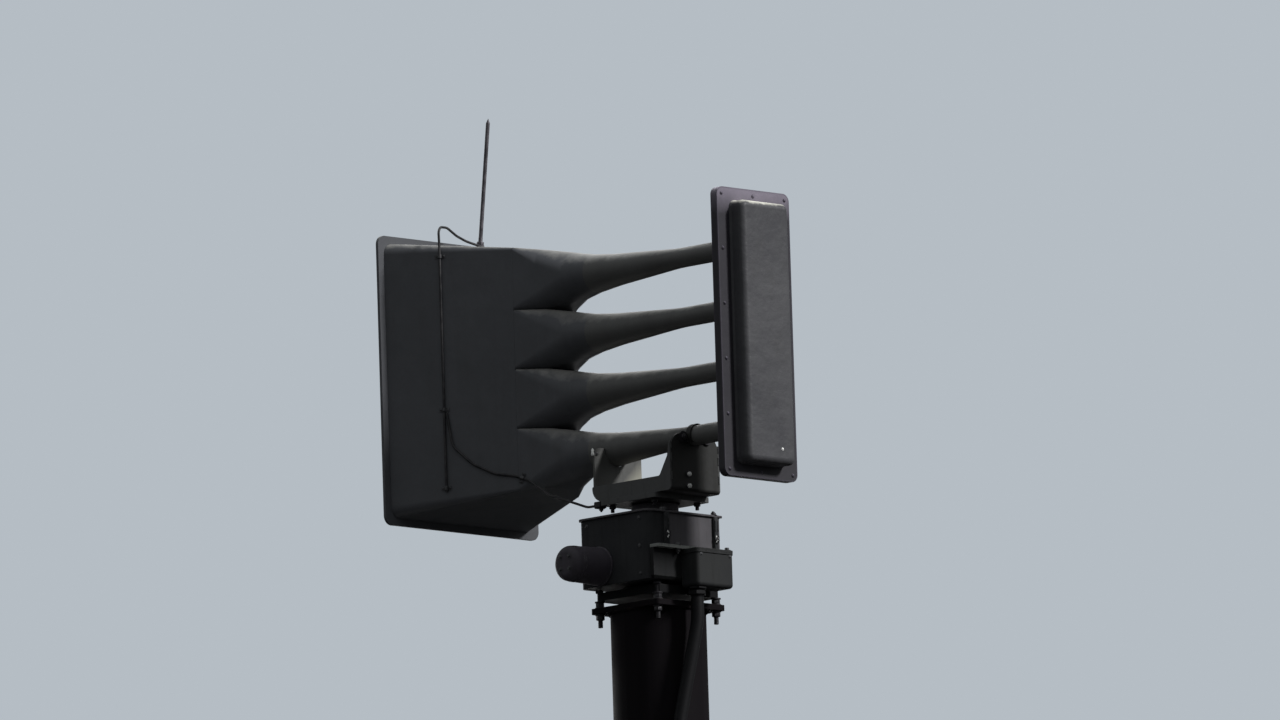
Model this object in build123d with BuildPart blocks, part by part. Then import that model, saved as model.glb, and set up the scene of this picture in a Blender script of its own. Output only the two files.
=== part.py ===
from build123d import *
import os
from math import atan, cos, degrees, radians, sin

# A civil defense siren tower: a steel pipe pole with a geared turntable on its cap plate,
# and on the turntable a cradle with a directional horn of four cells.
# Millimetres. The origin is the centre of the pole's foot, +Z is up, the horn's mouth faces -Y.

os.makedirs("parts", exist_ok=True)

# Pole
pole_height = 12200.0  # ground to the top of the cap plate
pole_diameter = 304.8
pole_wall = 9.5
base_plate_width = 560.0
base_plate_thickness = 32.0
base_plate_corner = 30.0
anchor_spacing = 440.0
anchor_hole_diameter = 36.0
gusset_count = 4
gusset_height = 230.0
gusset_thickness = 12.0
gusset_edge_margin = 14.0
gusset_nose = 24.0
cap_plate_width = 305.0
cap_plate_thickness = 18.0
cap_plate_corner = 12.0

# Studs that level and hold the rotator on the cap plate
stud_diameter = 15.9
stud_spacing = 260.0
stud_hole_clearance = 0.8
stud_tail = 43.0
nut_across_flats = 24.0
nut_height = 15.0
washer_diameter = 33.0
washer_thickness = 4.0
jam_nut_height = 9.5

# Rotator
base_flange_width = 281.0
base_flange_thickness = 26.0
base_flange_corner = 16.0
neck_diameter = 210.0
neck_height = 13.0
case_left_x = 178.0
case_right_x = -150.0
case_front_y = -165.0
case_rear_y = 165.0
gear_case_height = 98.0
gear_case_chamfer = 9.0
case_corner = 12.0
case_flange_thickness = 10.0
case_flange_rear_overhang = 25.0
case_flange_side_overhang = 2.0
upper_case_height = 109.0
upper_case_right_x = -143.0
upper_case_rear_y = 150.0
drive_cover_inner_x = 105.0
drive_cover_outer_x = 184.0
drive_cover_corner = 26.0
lid_thickness = 6.0
lid_overhang = 7.0
clamp_width = 20.0
clamp_depth = 10.0
clamp_left_x = 105.0
clamp_right_x = -114.0
clamp_fitting_diameter = 15.0
clamp_fitting_length = 12.0
clamp_fitting_rise = 37.0
lid_bolt_diameter = 13.0
lid_bolt_height = 12.0
lid_bolt_inset = 15.0
boss_diameter = 124.0
boss_height = 15.0

# Terminal box and motor on the rotator
box_left_x = 54.0
box_right_x = -108.0
box_depth = 73.0
box_height = 114.0
box_edge_radius = 13.0
box_lid_thickness = 8.0
box_lid_lip = 3.0
motor_centre_y = -74.0
motor_centre_rise = 63.0
motor_diameter = 122.0
motor_end_diameter = 112.0
motor_length = 154.0
motor_end_radius = 24.0

# Conduit down the pole
conduit_diameter = 42.0
conduit_wall = 3.6
conduit_box_x = 25.0
conduit_pole_gap = 8.0
conduit_angle = 27.0  # from +Y towards +X
conduit_lean_top = 70.0
conduit_lean_bottom = 400.0
conduit_bend_radius = 260.0
conduit_hole_clearance = 1.0
gland_diameter = 62.0
gland_height = 26.0
strap_count = 7
strap_first_drop = 620.0
strap_lowest_rise = 480.0  # above the ground
strap_height = 34.0
strap_thickness = 5.0
strap_width = 78.0

# Turntable
running_gap = 5.0
shaft_diameter = 70.0
shaft_clearance = 0.08
shaft_end_gap = 0.3
hub_diameter = 150.0
hub_height = 25.0
turntable_width = 248.0
turntable_thickness = 17.0
turntable_corner = 10.0
turntable_bolt_diameter = 12.7
turntable_bolt_tail = 23.0
turntable_nut_flats = 19.0
turntable_nut_height = 11.0
turntable_nut_side_gap = 0.5  # from the nut's flat to the cradle's side plate

# Cradle: a tray with low sides, and a plate at each end that holds the lowest throat
cradle_width = 222.0
cradle_plate = 6.0
cradle_base_thickness = 8.0
cradle_front_y = -168.0
cradle_rear_y = 185.0
cradle_front_corner = 44.0
cradle_rear_corner = 12.0
cradle_foot_flat = 6.0  # of an end plate's foot, past its bend
cradle_rail_height = 50.0
rail_corner = 5.0
side_gusset_toe = 50.0  # the gusset's stations from the rear plate's face forward
side_gusset_knee = 13.0
side_gusset_knee_rise = 110.0
side_gusset_top = 4.0
side_gusset_rise = 155.0
side_gusset_corner = 12.0
side_gusset_edge = 1.5
saddle_clearance = 0.3
front_plate_rise = 178.0
front_plate_corner = 26.0
rear_plate_rise = 186.0
rear_plate_corner = 52.0
rear_bolt_count = 2
rear_bolt_x = 31.0
rear_bolt_spacing = 38.0
rear_bolt_first_rise = 17.0
rear_bolt_flats = 17.0
rear_bolt_head = 8.0

# Strap that holds the lowest throat down on the rear plate
throat_strap_plate = 5.0
throat_strap_length = 20.0
throat_strap_ear = 34.0  # past the strap's bore
throat_strap_drop = 24.0  # of the ears, below the throat's axis
throat_strap_top = 2.0
throat_strap_bolt_inset = 22.0  # from the strap's bore
throat_strap_bolt_drop = 8.0
throat_strap_bolt_flats = 19.0
throat_strap_bolt_head = 7.0

# Horn
horn_axis_rise = 468.0  # above the cradle's underside
cell_count = 4
driver_face_y = 453.0
pipe_diameter = 63.5
pipe_length = 308.0
cone_length = 407.0
cone_end_diameter = 132.0
cone_swell_y = -134.0
cone_swell_diameter = 103.0
cone_bend_radius = 900.0
throat_wall = 5.0
cell_collar_diameter = 135.0
cell_swell_length = 53.0
cell_swell_diameter = 158.0
cell_round = 0.98  # corner radius of the round sections, as a share of their half width
cell_flare_length = 142.0
cell_flare_corner = 52.0
cell_mouth_length = 71.0
cell_mouth_width = 271.3
cell_mouth_corner = 8.0
end_cell_step = 9.65  # how far the end cells' mouths reach past their pitch
cell_wall = 6.0
bell_length = 398.0
bell_front_width = 634.0
bell_front_height = 886.0
bell_front_border = 59.4  # from the cells' height to the bell's front edge
bell_wall = 8.0
bell_rear_corner = 9.0
bell_edge_radius = 35.0
rim_thickness = 10.0
rim_lip = 25.0
rim_corner = 30.0

# Driver plate and its cover
driver_plate_width = 324.0
driver_plate_border = 78.9  # above and below the cells' height
driver_plate_thickness = 28.0
driver_plate_corner = 26.0
driver_cover_width = 212.0
driver_cover_border = 43.5  # of the plate above and below the cover
driver_cover_depth = 56.0
driver_cover_edge = 22.0
driver_cover_rounding = 20.0

# Lightning rod and its ground cable
rod_diameter = 12.7
rod_length = 398.0
rod_lean = 7.6
rod_y = -757.0
rod_foot_diameter = 50.0
rod_foot_thickness = 9.0
rod_socket_diameter = 26.0
rod_socket_height = 12.0
rod_seat_depth = 6.0  # of the rod in its socket
cable_diameter = 8.0
cable_gap = 0.3
cable_start_gap = 4.0
last_clip_run = 26.0
down_lead_y = -698.0
clip_rises = (384.0, -112.0, -365.0)  # from the horn's axis
clip_length = 12.0
clip_width = 34.0
clip_thickness = 2.5
last_clip_y = -462.0
last_clip_rise = -353.0
last_clip_slope = 22.0
lead_corners = ((76.0, -739.0, 31.0), (134.0, -725.0, 42.0), (190.0, -711.0, 62.0))  # x, y, above the bell
lead_crest = 58.0
lead_crest_lift = 4.0
lead_drop = 40.0
lead_radii = (120.0, 120.0, 60.0, 24.0, 40.0)
branch_rail = ((-675.0, 231.0), (-615.0, 294.0), (-546.0, 332.0))  # y, below the horn's axis
branch_hang = ((130.0, -339.0, 425.0), (129.0, -246.0, 457.0))  # x, y, below the horn's axis
branch_end_run = 44.0
branch_radii = (60.0, 90.0, 120.0, 60.0, 40.0, 90.0, 90.0, 40.0)
lug_width = 30.0
lug_reach = 26.0
lug_height = 22.0
lug_inset = 16.0

# Widths that follow from the cradle
cradle_inner_half = cradle_width / 2 - cradle_plate
turntable_bolt_spacing = 2 * (cradle_inner_half - turntable_nut_flats / 2 - turntable_nut_side_gap)

# Heights that follow from the bell's mouth
cell_pitch = (bell_front_height - 2 * bell_front_border) / cell_count
bell_rear_height = cell_count * cell_pitch + 2 * end_cell_step
driver_plate_height = cell_count * cell_pitch + 2 * driver_plate_border
driver_cover_height = driver_plate_height - 2 * driver_cover_border

# Levels, from the cap plate up
flange_bottom = pole_height + nut_height + 2 * washer_thickness
flange_top = flange_bottom + base_flange_thickness
case_bottom = flange_top + neck_height
case_flange_bottom = case_bottom + gear_case_height
upper_case_bottom = case_flange_bottom + case_flange_thickness
lid_bottom = upper_case_bottom + upper_case_height
lid_top = lid_bottom + lid_thickness
boss_top = lid_top + boss_height
hub_bottom = boss_top + running_gap
hub_top = hub_bottom + hub_height
cradle_bottom = hub_top + turntable_thickness
cradle_floor = cradle_bottom + cradle_base_thickness
horn_z = cradle_bottom + horn_axis_rise

# Stations along the horn, from the driver plate forward
cone_start_y = driver_face_y - pipe_length
cell_rear_y = cone_start_y - cone_length
cell_square_y = cell_rear_y - cell_flare_length
bell_rear_y = cell_square_y - cell_mouth_length
bell_front_y = bell_rear_y - bell_length
side_slope = (bell_front_width - cell_mouth_width) / 2 / bell_length
cell_flare_width = cell_mouth_width - 2 * side_slope * cell_mouth_length
top_slope = (bell_front_height - bell_rear_height) / 2 / bell_length

cell_heights = [
    horn_z + ((cell_count - 1) / 2 - index) * cell_pitch for index in range(cell_count)
]
lowest_cell_z = cell_heights[-1]


def across(y):
    """Plane across the horn at y: its own x is the world's X and its own y is Z."""
    return Plane.XZ.offset(-y)


def bell_half_width(y):
    return bell_front_width / 2 - side_slope * (y - bell_front_y)


def bell_half_height(y):
    return bell_front_height / 2 - top_slope * (y - bell_front_y)


throat_profile = (
    (driver_face_y, pipe_diameter / 2),
    (cone_start_y, pipe_diameter / 2),
    (cone_swell_y, cone_swell_diameter / 2),
    (cell_rear_y, cone_end_diameter / 2),
)


def throat_radius(y):
    """Outer radius of a throat at y, between the profile's stations."""
    for (rear_y, rear_radius), (front_y, front_radius) in zip(throat_profile, throat_profile[1:]):
        if front_y <= y <= rear_y:
            share = (rear_y - y) / (rear_y - front_y)
            return rear_radius + share * (front_radius - rear_radius)
    raise ValueError("y is off the throat")


# Pole
conduit_radius_on_pole = pole_diameter / 2 + conduit_pole_gap + conduit_diameter / 2
conduit_pole_x = conduit_radius_on_pole * sin(radians(conduit_angle))
conduit_pole_y = conduit_radius_on_pole * cos(radians(conduit_angle))

with BuildPart() as pole_base_plate:
    with BuildSketch():
        RectangleRounded(base_plate_width, base_plate_width, base_plate_corner)
        with GridLocations(anchor_spacing, anchor_spacing, 2, 2):
            Circle(anchor_hole_diameter / 2, mode=Mode.SUBTRACT)
        with Locations((conduit_pole_x, conduit_pole_y)):
            Circle(conduit_diameter / 2 + conduit_hole_clearance, mode=Mode.SUBTRACT)
    extrude(amount=base_plate_thickness)
pole_base_plate.part.label = "pole_base_plate"
export_step(pole_base_plate.part, "parts/pole_base_plate.step")

with BuildPart() as base_gussets:
    reach = base_plate_width / 2 - gusset_edge_margin
    for turn in range(gusset_count):
        upright = Plane.XZ.rotated((0, 0, turn * 360 / gusset_count))
        with BuildSketch(upright):
            with BuildLine():
                Polyline(
                    (0, base_plate_thickness),
                    (reach, base_plate_thickness),
                    (reach, base_plate_thickness + gusset_nose),
                    (pole_diameter / 2 + gusset_nose, base_plate_thickness + gusset_height),
                    (0, base_plate_thickness + gusset_height),
                    close=True,
                )
            make_face()
        extrude(amount=gusset_thickness / 2, both=True)
    with BuildSketch(Plane.XY.offset(base_plate_thickness)):
        Circle(pole_diameter / 2)
    extrude(amount=gusset_height, mode=Mode.SUBTRACT)
base_gussets.part.label = "base_gussets"
export_step(base_gussets.part, "parts/base_gussets.step")

with BuildPart() as pole_shaft:
    with BuildSketch(Plane.XY.offset(base_plate_thickness)):
        Circle(pole_diameter / 2)
        Circle(pole_diameter / 2 - pole_wall, mode=Mode.SUBTRACT)
    extrude(amount=pole_height - cap_plate_thickness - base_plate_thickness)
pole_shaft.part.label = "pole_shaft"
export_step(pole_shaft.part, "parts/pole_shaft.step")

with BuildPart() as pole_cap_plate:
    with BuildSketch(Plane.XY.offset(pole_height - cap_plate_thickness)):
        RectangleRounded(cap_plate_width, cap_plate_width, cap_plate_corner)
        with GridLocations(stud_spacing, stud_spacing, 2, 2):
            Circle(stud_diameter / 2 + stud_hole_clearance, mode=Mode.SUBTRACT)
    extrude(amount=cap_plate_thickness)
pole_cap_plate.part.label = "pole_cap_plate"
export_step(pole_cap_plate.part, "parts/pole_cap_plate.step")

# Studs with a nut and washer under the cap plate, a levelling nut, and a jam nut on the flange
cap_plate_underside = pole_height - cap_plate_thickness
with BuildPart() as mounting_studs:
    with BuildSketch(Plane.XY.offset(cap_plate_underside - stud_tail)):
        with GridLocations(stud_spacing, stud_spacing, 2, 2):
            Circle(stud_diameter / 2)
    extrude(amount=stud_tail + flange_top + jam_nut_height - cap_plate_underside)
    washer_levels = (
        cap_plate_underside - washer_thickness,
        pole_height,
        flange_bottom - washer_thickness,
    )
    for level in washer_levels:
        with BuildSketch(Plane.XY.offset(level)):
            with GridLocations(stud_spacing, stud_spacing, 2, 2):
                Circle(washer_diameter / 2)
        extrude(amount=washer_thickness)
    for level, height in (
        (cap_plate_underside - washer_thickness - nut_height, nut_height),
        (pole_height + washer_thickness, nut_height),
        (flange_top, jam_nut_height),
    ):
        with BuildSketch(Plane.XY.offset(level)):
            with GridLocations(stud_spacing, stud_spacing, 2, 2):
                RegularPolygon(nut_across_flats / 2, 6, major_radius=False)
        extrude(amount=height)
mounting_studs.part.label = "mounting_studs"
export_step(mounting_studs.part, "parts/mounting_studs.step")

# Rotator
with BuildPart() as rotator_base_flange:
    with BuildSketch(Plane.XY.offset(flange_bottom)):
        RectangleRounded(base_flange_width, base_flange_width, base_flange_corner)
        with GridLocations(stud_spacing, stud_spacing, 2, 2):
            Circle(stud_diameter / 2 + stud_hole_clearance, mode=Mode.SUBTRACT)
    extrude(amount=base_flange_thickness)
    with BuildSketch(Plane.XY.offset(flange_top)):
        Circle(neck_diameter / 2)
    extrude(amount=neck_height)
rotator_base_flange.part.label = "rotator_base_flange"
export_step(rotator_base_flange.part, "parts/rotator_base_flange.step")

case_centre_x = (case_left_x + case_right_x) / 2
case_centre_y = (case_front_y + case_rear_y) / 2
case_size_x = case_left_x - case_right_x
case_size_y = case_rear_y - case_front_y

with BuildPart() as gear_case:
    with BuildSketch(Plane.XY.offset(case_bottom)):
        with Locations((case_centre_x, case_centre_y)):
            Rectangle(case_size_x, case_size_y)
    extrude(amount=gear_case_height)
    outer_edges = gear_case.edges().group_by(Axis.Z)[0]
    chamfer(outer_edges, gear_case_chamfer)
    with BuildSketch(Plane.XY.offset(case_bottom)):
        with Locations((drive_cover_inner_x, case_front_y)):
            Rectangle(
                case_left_x - drive_cover_inner_x,
                upper_case_rear_y - case_front_y,
                align=(Align.MIN, Align.MIN),
            )
    extrude(amount=gear_case_height, mode=Mode.SUBTRACT)
    fillet(
        gear_case.edges().filter_by(Axis.Z).filter_by_position(
            Axis.X, case_right_x - 1, case_right_x + 1
        ),
        case_corner,
    )
gear_case.part.label = "gear_case"
export_step(gear_case.part, "parts/gear_case.step")

with BuildPart() as case_flange:
    with BuildSketch(Plane.XY.offset(case_flange_bottom)):
        with Locations((case_right_x - case_flange_side_overhang, case_front_y)):
            Rectangle(
                case_size_x + case_flange_side_overhang,
                case_size_y + case_flange_rear_overhang,
                align=(Align.MIN, Align.MIN),
            )
        with Locations((drive_cover_inner_x, case_front_y)):
            Rectangle(
                case_left_x - drive_cover_inner_x,
                upper_case_rear_y - case_front_y,
                align=(Align.MIN, Align.MIN),
                mode=Mode.SUBTRACT,
            )
    extrude(amount=case_flange_thickness)
    rear_corners = case_flange.edges().filter_by(Axis.Z).group_by(Axis.Y)[-1]
    fillet(rear_corners, case_corner)
case_flange.part.label = "case_flange"
export_step(case_flange.part, "parts/case_flange.step")

with BuildPart() as upper_case:
    with BuildSketch(Plane.XY.offset(upper_case_bottom)):
        with Locations((upper_case_right_x, case_front_y)):
            Rectangle(
                drive_cover_inner_x - upper_case_right_x,
                upper_case_rear_y - case_front_y,
                align=(Align.MIN, Align.MIN),
            )
    extrude(amount=upper_case_height)
    fillet(upper_case.edges().filter_by(Axis.Z).group_by(Axis.X)[0], case_corner)
upper_case.part.label = "upper_case"
export_step(upper_case.part, "parts/upper_case.step")

with BuildPart() as drive_cover:
    with BuildSketch(Plane.XY.offset(case_bottom)):
        with Locations((drive_cover_inner_x, case_front_y)):
            Rectangle(
                drive_cover_outer_x - drive_cover_inner_x,
                upper_case_rear_y - case_front_y,
                align=(Align.MIN, Align.MIN),
            )
    extrude(amount=lid_bottom - case_bottom)
    fillet(drive_cover.edges().filter_by(Axis.Z).group_by(Axis.X)[-1], drive_cover_corner)
drive_cover.part.label = "drive_cover"
export_step(drive_cover.part, "parts/drive_cover.step")

with BuildPart() as case_lid:
    with BuildSketch(Plane.XY.offset(lid_bottom)):
        with Locations((upper_case_right_x - lid_overhang, case_front_y - lid_overhang)):
            Rectangle(
                drive_cover_outer_x - upper_case_right_x + 2 * lid_overhang,
                upper_case_rear_y - case_front_y + 2 * lid_overhang,
                align=(Align.MIN, Align.MIN),
            )
    extrude(amount=lid_thickness)
    upright_edges = case_lid.edges().filter_by(Axis.Z)
    fillet(upright_edges.group_by(Axis.X)[-1], drive_cover_corner + lid_overhang)
    fillet(case_lid.edges().filter_by(Axis.Z).group_by(Axis.X)[0], case_corner)
case_lid.part.label = "case_lid"
export_step(case_lid.part, "parts/case_lid.step")

with BuildPart() as lid_bolts:
    with BuildSketch(Plane.XY.offset(lid_top)):
        for x in (upper_case_right_x + lid_bolt_inset, drive_cover_inner_x):
            for y in (case_front_y + lid_bolt_inset, upper_case_rear_y - lid_bolt_inset):
                with Locations((x, y)):
                    RegularPolygon(lid_bolt_diameter / 2, 6)
    extrude(amount=lid_bolt_height)
lid_bolts.part.label = "lid_bolts"
export_step(lid_bolts.part, "parts/lid_bolts.step")

with BuildPart() as case_clamps:
    for x in (clamp_left_x, clamp_right_x):
        with BuildSketch(Plane.XY.offset(upper_case_bottom)):
            with Locations((x, upper_case_rear_y)):
                Rectangle(clamp_width, clamp_depth, align=(Align.CENTER, Align.MIN))
        extrude(amount=upper_case_height)
        with BuildSketch(across(upper_case_rear_y + clamp_depth)):
            with Locations((x, upper_case_bottom + clamp_fitting_rise)):
                Circle(clamp_fitting_diameter / 2)
        extrude(amount=-clamp_fitting_length)
case_clamps.part.label = "case_clamps"
export_step(case_clamps.part, "parts/case_clamps.step")

with BuildPart() as bearing_boss:
    with BuildSketch(Plane.XY.offset(lid_top)):
        Circle(boss_diameter / 2)
        Circle(shaft_diameter / 2 + shaft_clearance, mode=Mode.SUBTRACT)
    extrude(amount=boss_height)
bearing_boss.part.label = "bearing_boss"
export_step(bearing_boss.part, "parts/bearing_boss.step")

# Terminal box, its lid just under the case flange
box_top = case_flange_bottom - box_lid_thickness
box_bottom = box_top - box_height
box_centre_x = (box_left_x + box_right_x) / 2
with BuildPart() as terminal_box:
    with BuildSketch(Plane.XY.offset(box_bottom)):
        with Locations((box_centre_x, case_rear_y)):
            Rectangle(box_left_x - box_right_x, box_depth, align=(Align.CENTER, Align.MIN))
    extrude(amount=box_height)
    box_edges = terminal_box.edges()
    outer_posts = box_edges.filter_by(Axis.Z).group_by(Axis.Y)[-1]
    floor_edges = box_edges.group_by(Axis.Z)[0].sort_by(Axis.Y)[1:]
    fillet(outer_posts + floor_edges, box_edge_radius)
terminal_box.part.label = "terminal_box"
export_step(terminal_box.part, "parts/terminal_box.step")

with BuildPart() as terminal_box_lid:
    with BuildSketch(Plane.XY.offset(box_top)):
        with Locations((box_centre_x, case_rear_y)):
            Rectangle(
                box_left_x - box_right_x + 2 * box_lid_lip,
                box_depth + box_lid_lip,
                align=(Align.CENTER, Align.MIN),
            )
    extrude(amount=box_lid_thickness)
    lid_corners = terminal_box_lid.edges().filter_by(Axis.Z).group_by(Axis.Y)[-1]
    fillet(lid_corners, box_edge_radius + box_lid_lip)
terminal_box_lid.part.label = "terminal_box_lid"
export_step(terminal_box_lid.part, "parts/terminal_box_lid.step")

motor_z = case_bottom + motor_centre_rise
with BuildPart() as motor_cover:
    with BuildSketch(Plane.XY.offset(motor_z)):
        with BuildLine():
            start_x = drive_cover_outer_x
            end_x = start_x + motor_length
            Line((start_x, motor_centre_y), (start_x, motor_centre_y + motor_diameter / 2))
            FilletPolyline(
                (start_x, motor_centre_y + motor_diameter / 2),
                (end_x, motor_centre_y + motor_end_diameter / 2),
                (end_x, motor_centre_y),
                radius=motor_end_radius,
            )
            Line((end_x, motor_centre_y), (start_x, motor_centre_y))
        make_face()
    revolve(axis=Axis((0, motor_centre_y, motor_z), (1, 0, 0)))
motor_cover.part.label = "motor_cover"
export_step(motor_cover.part, "parts/motor_cover.step")

# Conduit from the box's floor to the pole's side, then down through the base plate
conduit_box_y = case_rear_y + box_depth / 2
conduit_points = (
    (conduit_box_x, conduit_box_y, box_bottom - gland_height),
    (conduit_box_x, conduit_box_y, pole_height - conduit_lean_top),
    (conduit_pole_x, conduit_pole_y, pole_height - conduit_lean_bottom),
    (conduit_pole_x, conduit_pole_y, 0),
)
with BuildPart() as conduit:
    with BuildLine() as conduit_path:
        FilletPolyline(*conduit_points, radius=conduit_bend_radius)
    with BuildSketch(Plane(origin=conduit_points[0], z_dir=(0, 0, -1))):
        Circle(conduit_diameter / 2)
        Circle(conduit_diameter / 2 - conduit_wall, mode=Mode.SUBTRACT)
    sweep(path=conduit_path.line)
conduit.part.label = "conduit"
export_step(conduit.part, "parts/conduit.step")

with BuildPart() as conduit_gland:
    with BuildSketch(Plane.XY.offset(box_bottom)):
        with Locations((conduit_box_x, conduit_box_y)):
            RegularPolygon(gland_diameter / 2, 6)
    extrude(amount=-gland_height)
conduit_gland.part.label = "conduit_gland"
export_step(conduit_gland.part, "parts/conduit_gland.step")

# Each strap is a saddle against the pole with a band round the conduit
with BuildPart() as conduit_straps:
    outward = Plane.XY.rotated((0, 0, -conduit_angle))
    strap_pitch = (pole_height - strap_first_drop - strap_lowest_rise) / (strap_count - 1)
    for index in range(strap_count):
        level = pole_height - strap_first_drop - index * strap_pitch
        with BuildSketch(outward.offset(level)):
            with Locations((0, conduit_radius_on_pole)):
                Circle(conduit_diameter / 2 + strap_thickness)
            with Locations((0, pole_diameter / 2)):
                Rectangle(strap_width, 2 * conduit_pole_gap)
            Circle(pole_diameter / 2, mode=Mode.SUBTRACT)
            with Locations((0, conduit_radius_on_pole)):
                Circle(conduit_diameter / 2, mode=Mode.SUBTRACT)
        extrude(amount=strap_height)
conduit_straps.part.label = "conduit_straps"
export_step(conduit_straps.part, "parts/conduit_straps.step")

# Turntable
with BuildPart() as turntable_hub:
    with BuildSketch(Plane.XY.offset(lid_top + shaft_end_gap)):
        Circle(shaft_diameter / 2)
    extrude(amount=hub_bottom - lid_top - shaft_end_gap)
    with BuildSketch(Plane.XY.offset(hub_bottom)):
        Circle(hub_diameter / 2)
    extrude(amount=hub_height)
turntable_hub.part.label = "turntable_hub"
export_step(turntable_hub.part, "parts/turntable_hub.step")

with BuildPart() as turntable_plate:
    with BuildSketch(Plane.XY.offset(hub_top)):
        RectangleRounded(turntable_width, turntable_width, turntable_corner)
        with GridLocations(turntable_bolt_spacing, turntable_bolt_spacing, 2, 2):
            Circle(turntable_bolt_diameter / 2 + stud_hole_clearance, mode=Mode.SUBTRACT)
    extrude(amount=turntable_thickness)
turntable_plate.part.label = "turntable_plate"
export_step(turntable_plate.part, "parts/turntable_plate.step")

with BuildPart() as turntable_bolts:
    with BuildSketch(Plane.XY.offset(hub_top - turntable_bolt_tail)):
        with GridLocations(turntable_bolt_spacing, turntable_bolt_spacing, 2, 2):
            Circle(turntable_bolt_diameter / 2)
    extrude(amount=turntable_bolt_tail + turntable_thickness + cradle_base_thickness)
    for level in (hub_top - turntable_nut_height, cradle_floor):
        with BuildSketch(Plane.XY.offset(level)):
            with GridLocations(turntable_bolt_spacing, turntable_bolt_spacing, 2, 2):
                RegularPolygon(turntable_nut_flats / 2, 6, major_radius=False, rotation=30)
        extrude(amount=turntable_nut_height)
turntable_bolts.part.label = "turntable_bolts"
export_step(turntable_bolts.part, "parts/turntable_bolts.step")

# Cradle: an end plate has a foot that bends in and butts against the base plate
cradle_lap_front_y = cradle_front_y + cradle_front_corner + cradle_foot_flat
cradle_lap_rear_y = cradle_rear_y - cradle_rear_corner - cradle_foot_flat


def end_plate(outer_y, foot_y, rise, bend):
    """Plate across the cradle at outer_y, with its foot's edge at foot_y."""
    inner_y = outer_y + cradle_base_thickness * (1 if foot_y > outer_y else -1)
    top = cradle_bottom + rise
    with BuildPart() as plate:
        with BuildSketch(Plane.YZ):
            with BuildLine():
                FilletPolyline(
                    (foot_y, cradle_bottom), (outer_y, cradle_bottom), (outer_y, top), radius=bend
                )
                Line((outer_y, top), (inner_y, top))
                FilletPolyline(
                    (inner_y, top),
                    (inner_y, cradle_floor),
                    (foot_y, cradle_floor),
                    radius=bend - cradle_base_thickness,
                )
                Line((foot_y, cradle_floor), (foot_y, cradle_bottom))
            make_face()
        extrude(amount=cradle_inner_half, both=True)
    return plate.part


with BuildPart() as cradle_base_plate:
    with BuildSketch(Plane.XY.offset(cradle_bottom)):
        with Locations((0, cradle_lap_front_y)):
            Rectangle(
                2 * cradle_inner_half,
                cradle_lap_rear_y - cradle_lap_front_y,
                align=(Align.CENTER, Align.MIN),
            )
        with GridLocations(turntable_bolt_spacing, turntable_bolt_spacing, 2, 2):
            Circle(turntable_bolt_diameter / 2 + stud_hole_clearance, mode=Mode.SUBTRACT)
    extrude(amount=cradle_base_thickness)
cradle_base_plate.part.label = "cradle_base_plate"
export_step(cradle_base_plate.part, "parts/cradle_base_plate.step")

with BuildPart() as front_saddle:
    add(end_plate(cradle_front_y, cradle_lap_front_y, front_plate_rise, cradle_front_corner))
    top_corners = front_saddle.edges().filter_by(Axis.Y).group_by(Axis.Z)[-1]
    fillet(top_corners, front_plate_corner)
    with BuildSketch(across(cradle_front_y)):
        with Locations((0, lowest_cell_z)):
            Circle(throat_radius(cradle_front_y) + saddle_clearance)
    extrude(amount=-cradle_base_thickness, mode=Mode.SUBTRACT)
front_saddle.part.label = "front_saddle"
export_step(front_saddle.part, "parts/front_saddle.step")

pipe_seat_radius = pipe_diameter / 2 + saddle_clearance
with BuildPart() as rear_cross_plate:
    add(end_plate(cradle_rear_y, cradle_lap_rear_y, rear_plate_rise, cradle_rear_corner))
    top_corners = rear_cross_plate.edges().filter_by(Axis.Y).group_by(Axis.Z)[-1]
    fillet(top_corners, rear_plate_corner)
    with BuildSketch(across(cradle_rear_y)):
        with Locations((0, lowest_cell_z)):
            Circle(pipe_seat_radius)
            Rectangle(2 * pipe_seat_radius, rear_plate_rise, align=(Align.CENTER, Align.MIN))
    extrude(amount=cradle_base_thickness, mode=Mode.SUBTRACT)
rear_cross_plate.part.label = "rear_cross_plate"
export_step(rear_cross_plate.part, "parts/rear_cross_plate.step")

# Each side is low from end to end, with a gusset up along the rear plate
rail_top = cradle_bottom + cradle_rail_height
side_outline = (
    (cradle_front_y, cradle_bottom, cradle_front_corner),
    (cradle_rear_y, cradle_bottom, cradle_rear_corner),
    (cradle_rear_y, cradle_bottom + side_gusset_rise, side_gusset_edge),
    (cradle_rear_y - side_gusset_top, cradle_bottom + side_gusset_rise, side_gusset_edge),
    (cradle_rear_y - side_gusset_knee, cradle_bottom + side_gusset_knee_rise, side_gusset_corner),
    (cradle_rear_y - side_gusset_toe, rail_top, side_gusset_corner),
    (cradle_front_y, rail_top, rail_corner),
)
for side_name, inner_x in (
    ("cradle_side_left", cradle_inner_half),
    ("cradle_side_right", -cradle_width / 2),
):
    with BuildPart() as cradle_side:
        with BuildSketch(Plane.YZ.offset(inner_x)):
            with BuildLine():
                FilletPolyline(
                    *[(y, z) for y, z, radius in side_outline],
                    radius=[radius for y, z, radius in side_outline],
                    close=True,
                )
            make_face()
        extrude(amount=cradle_plate)
    cradle_side.part.label = side_name
    export_step(cradle_side.part, f"parts/{side_name}.step")

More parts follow.
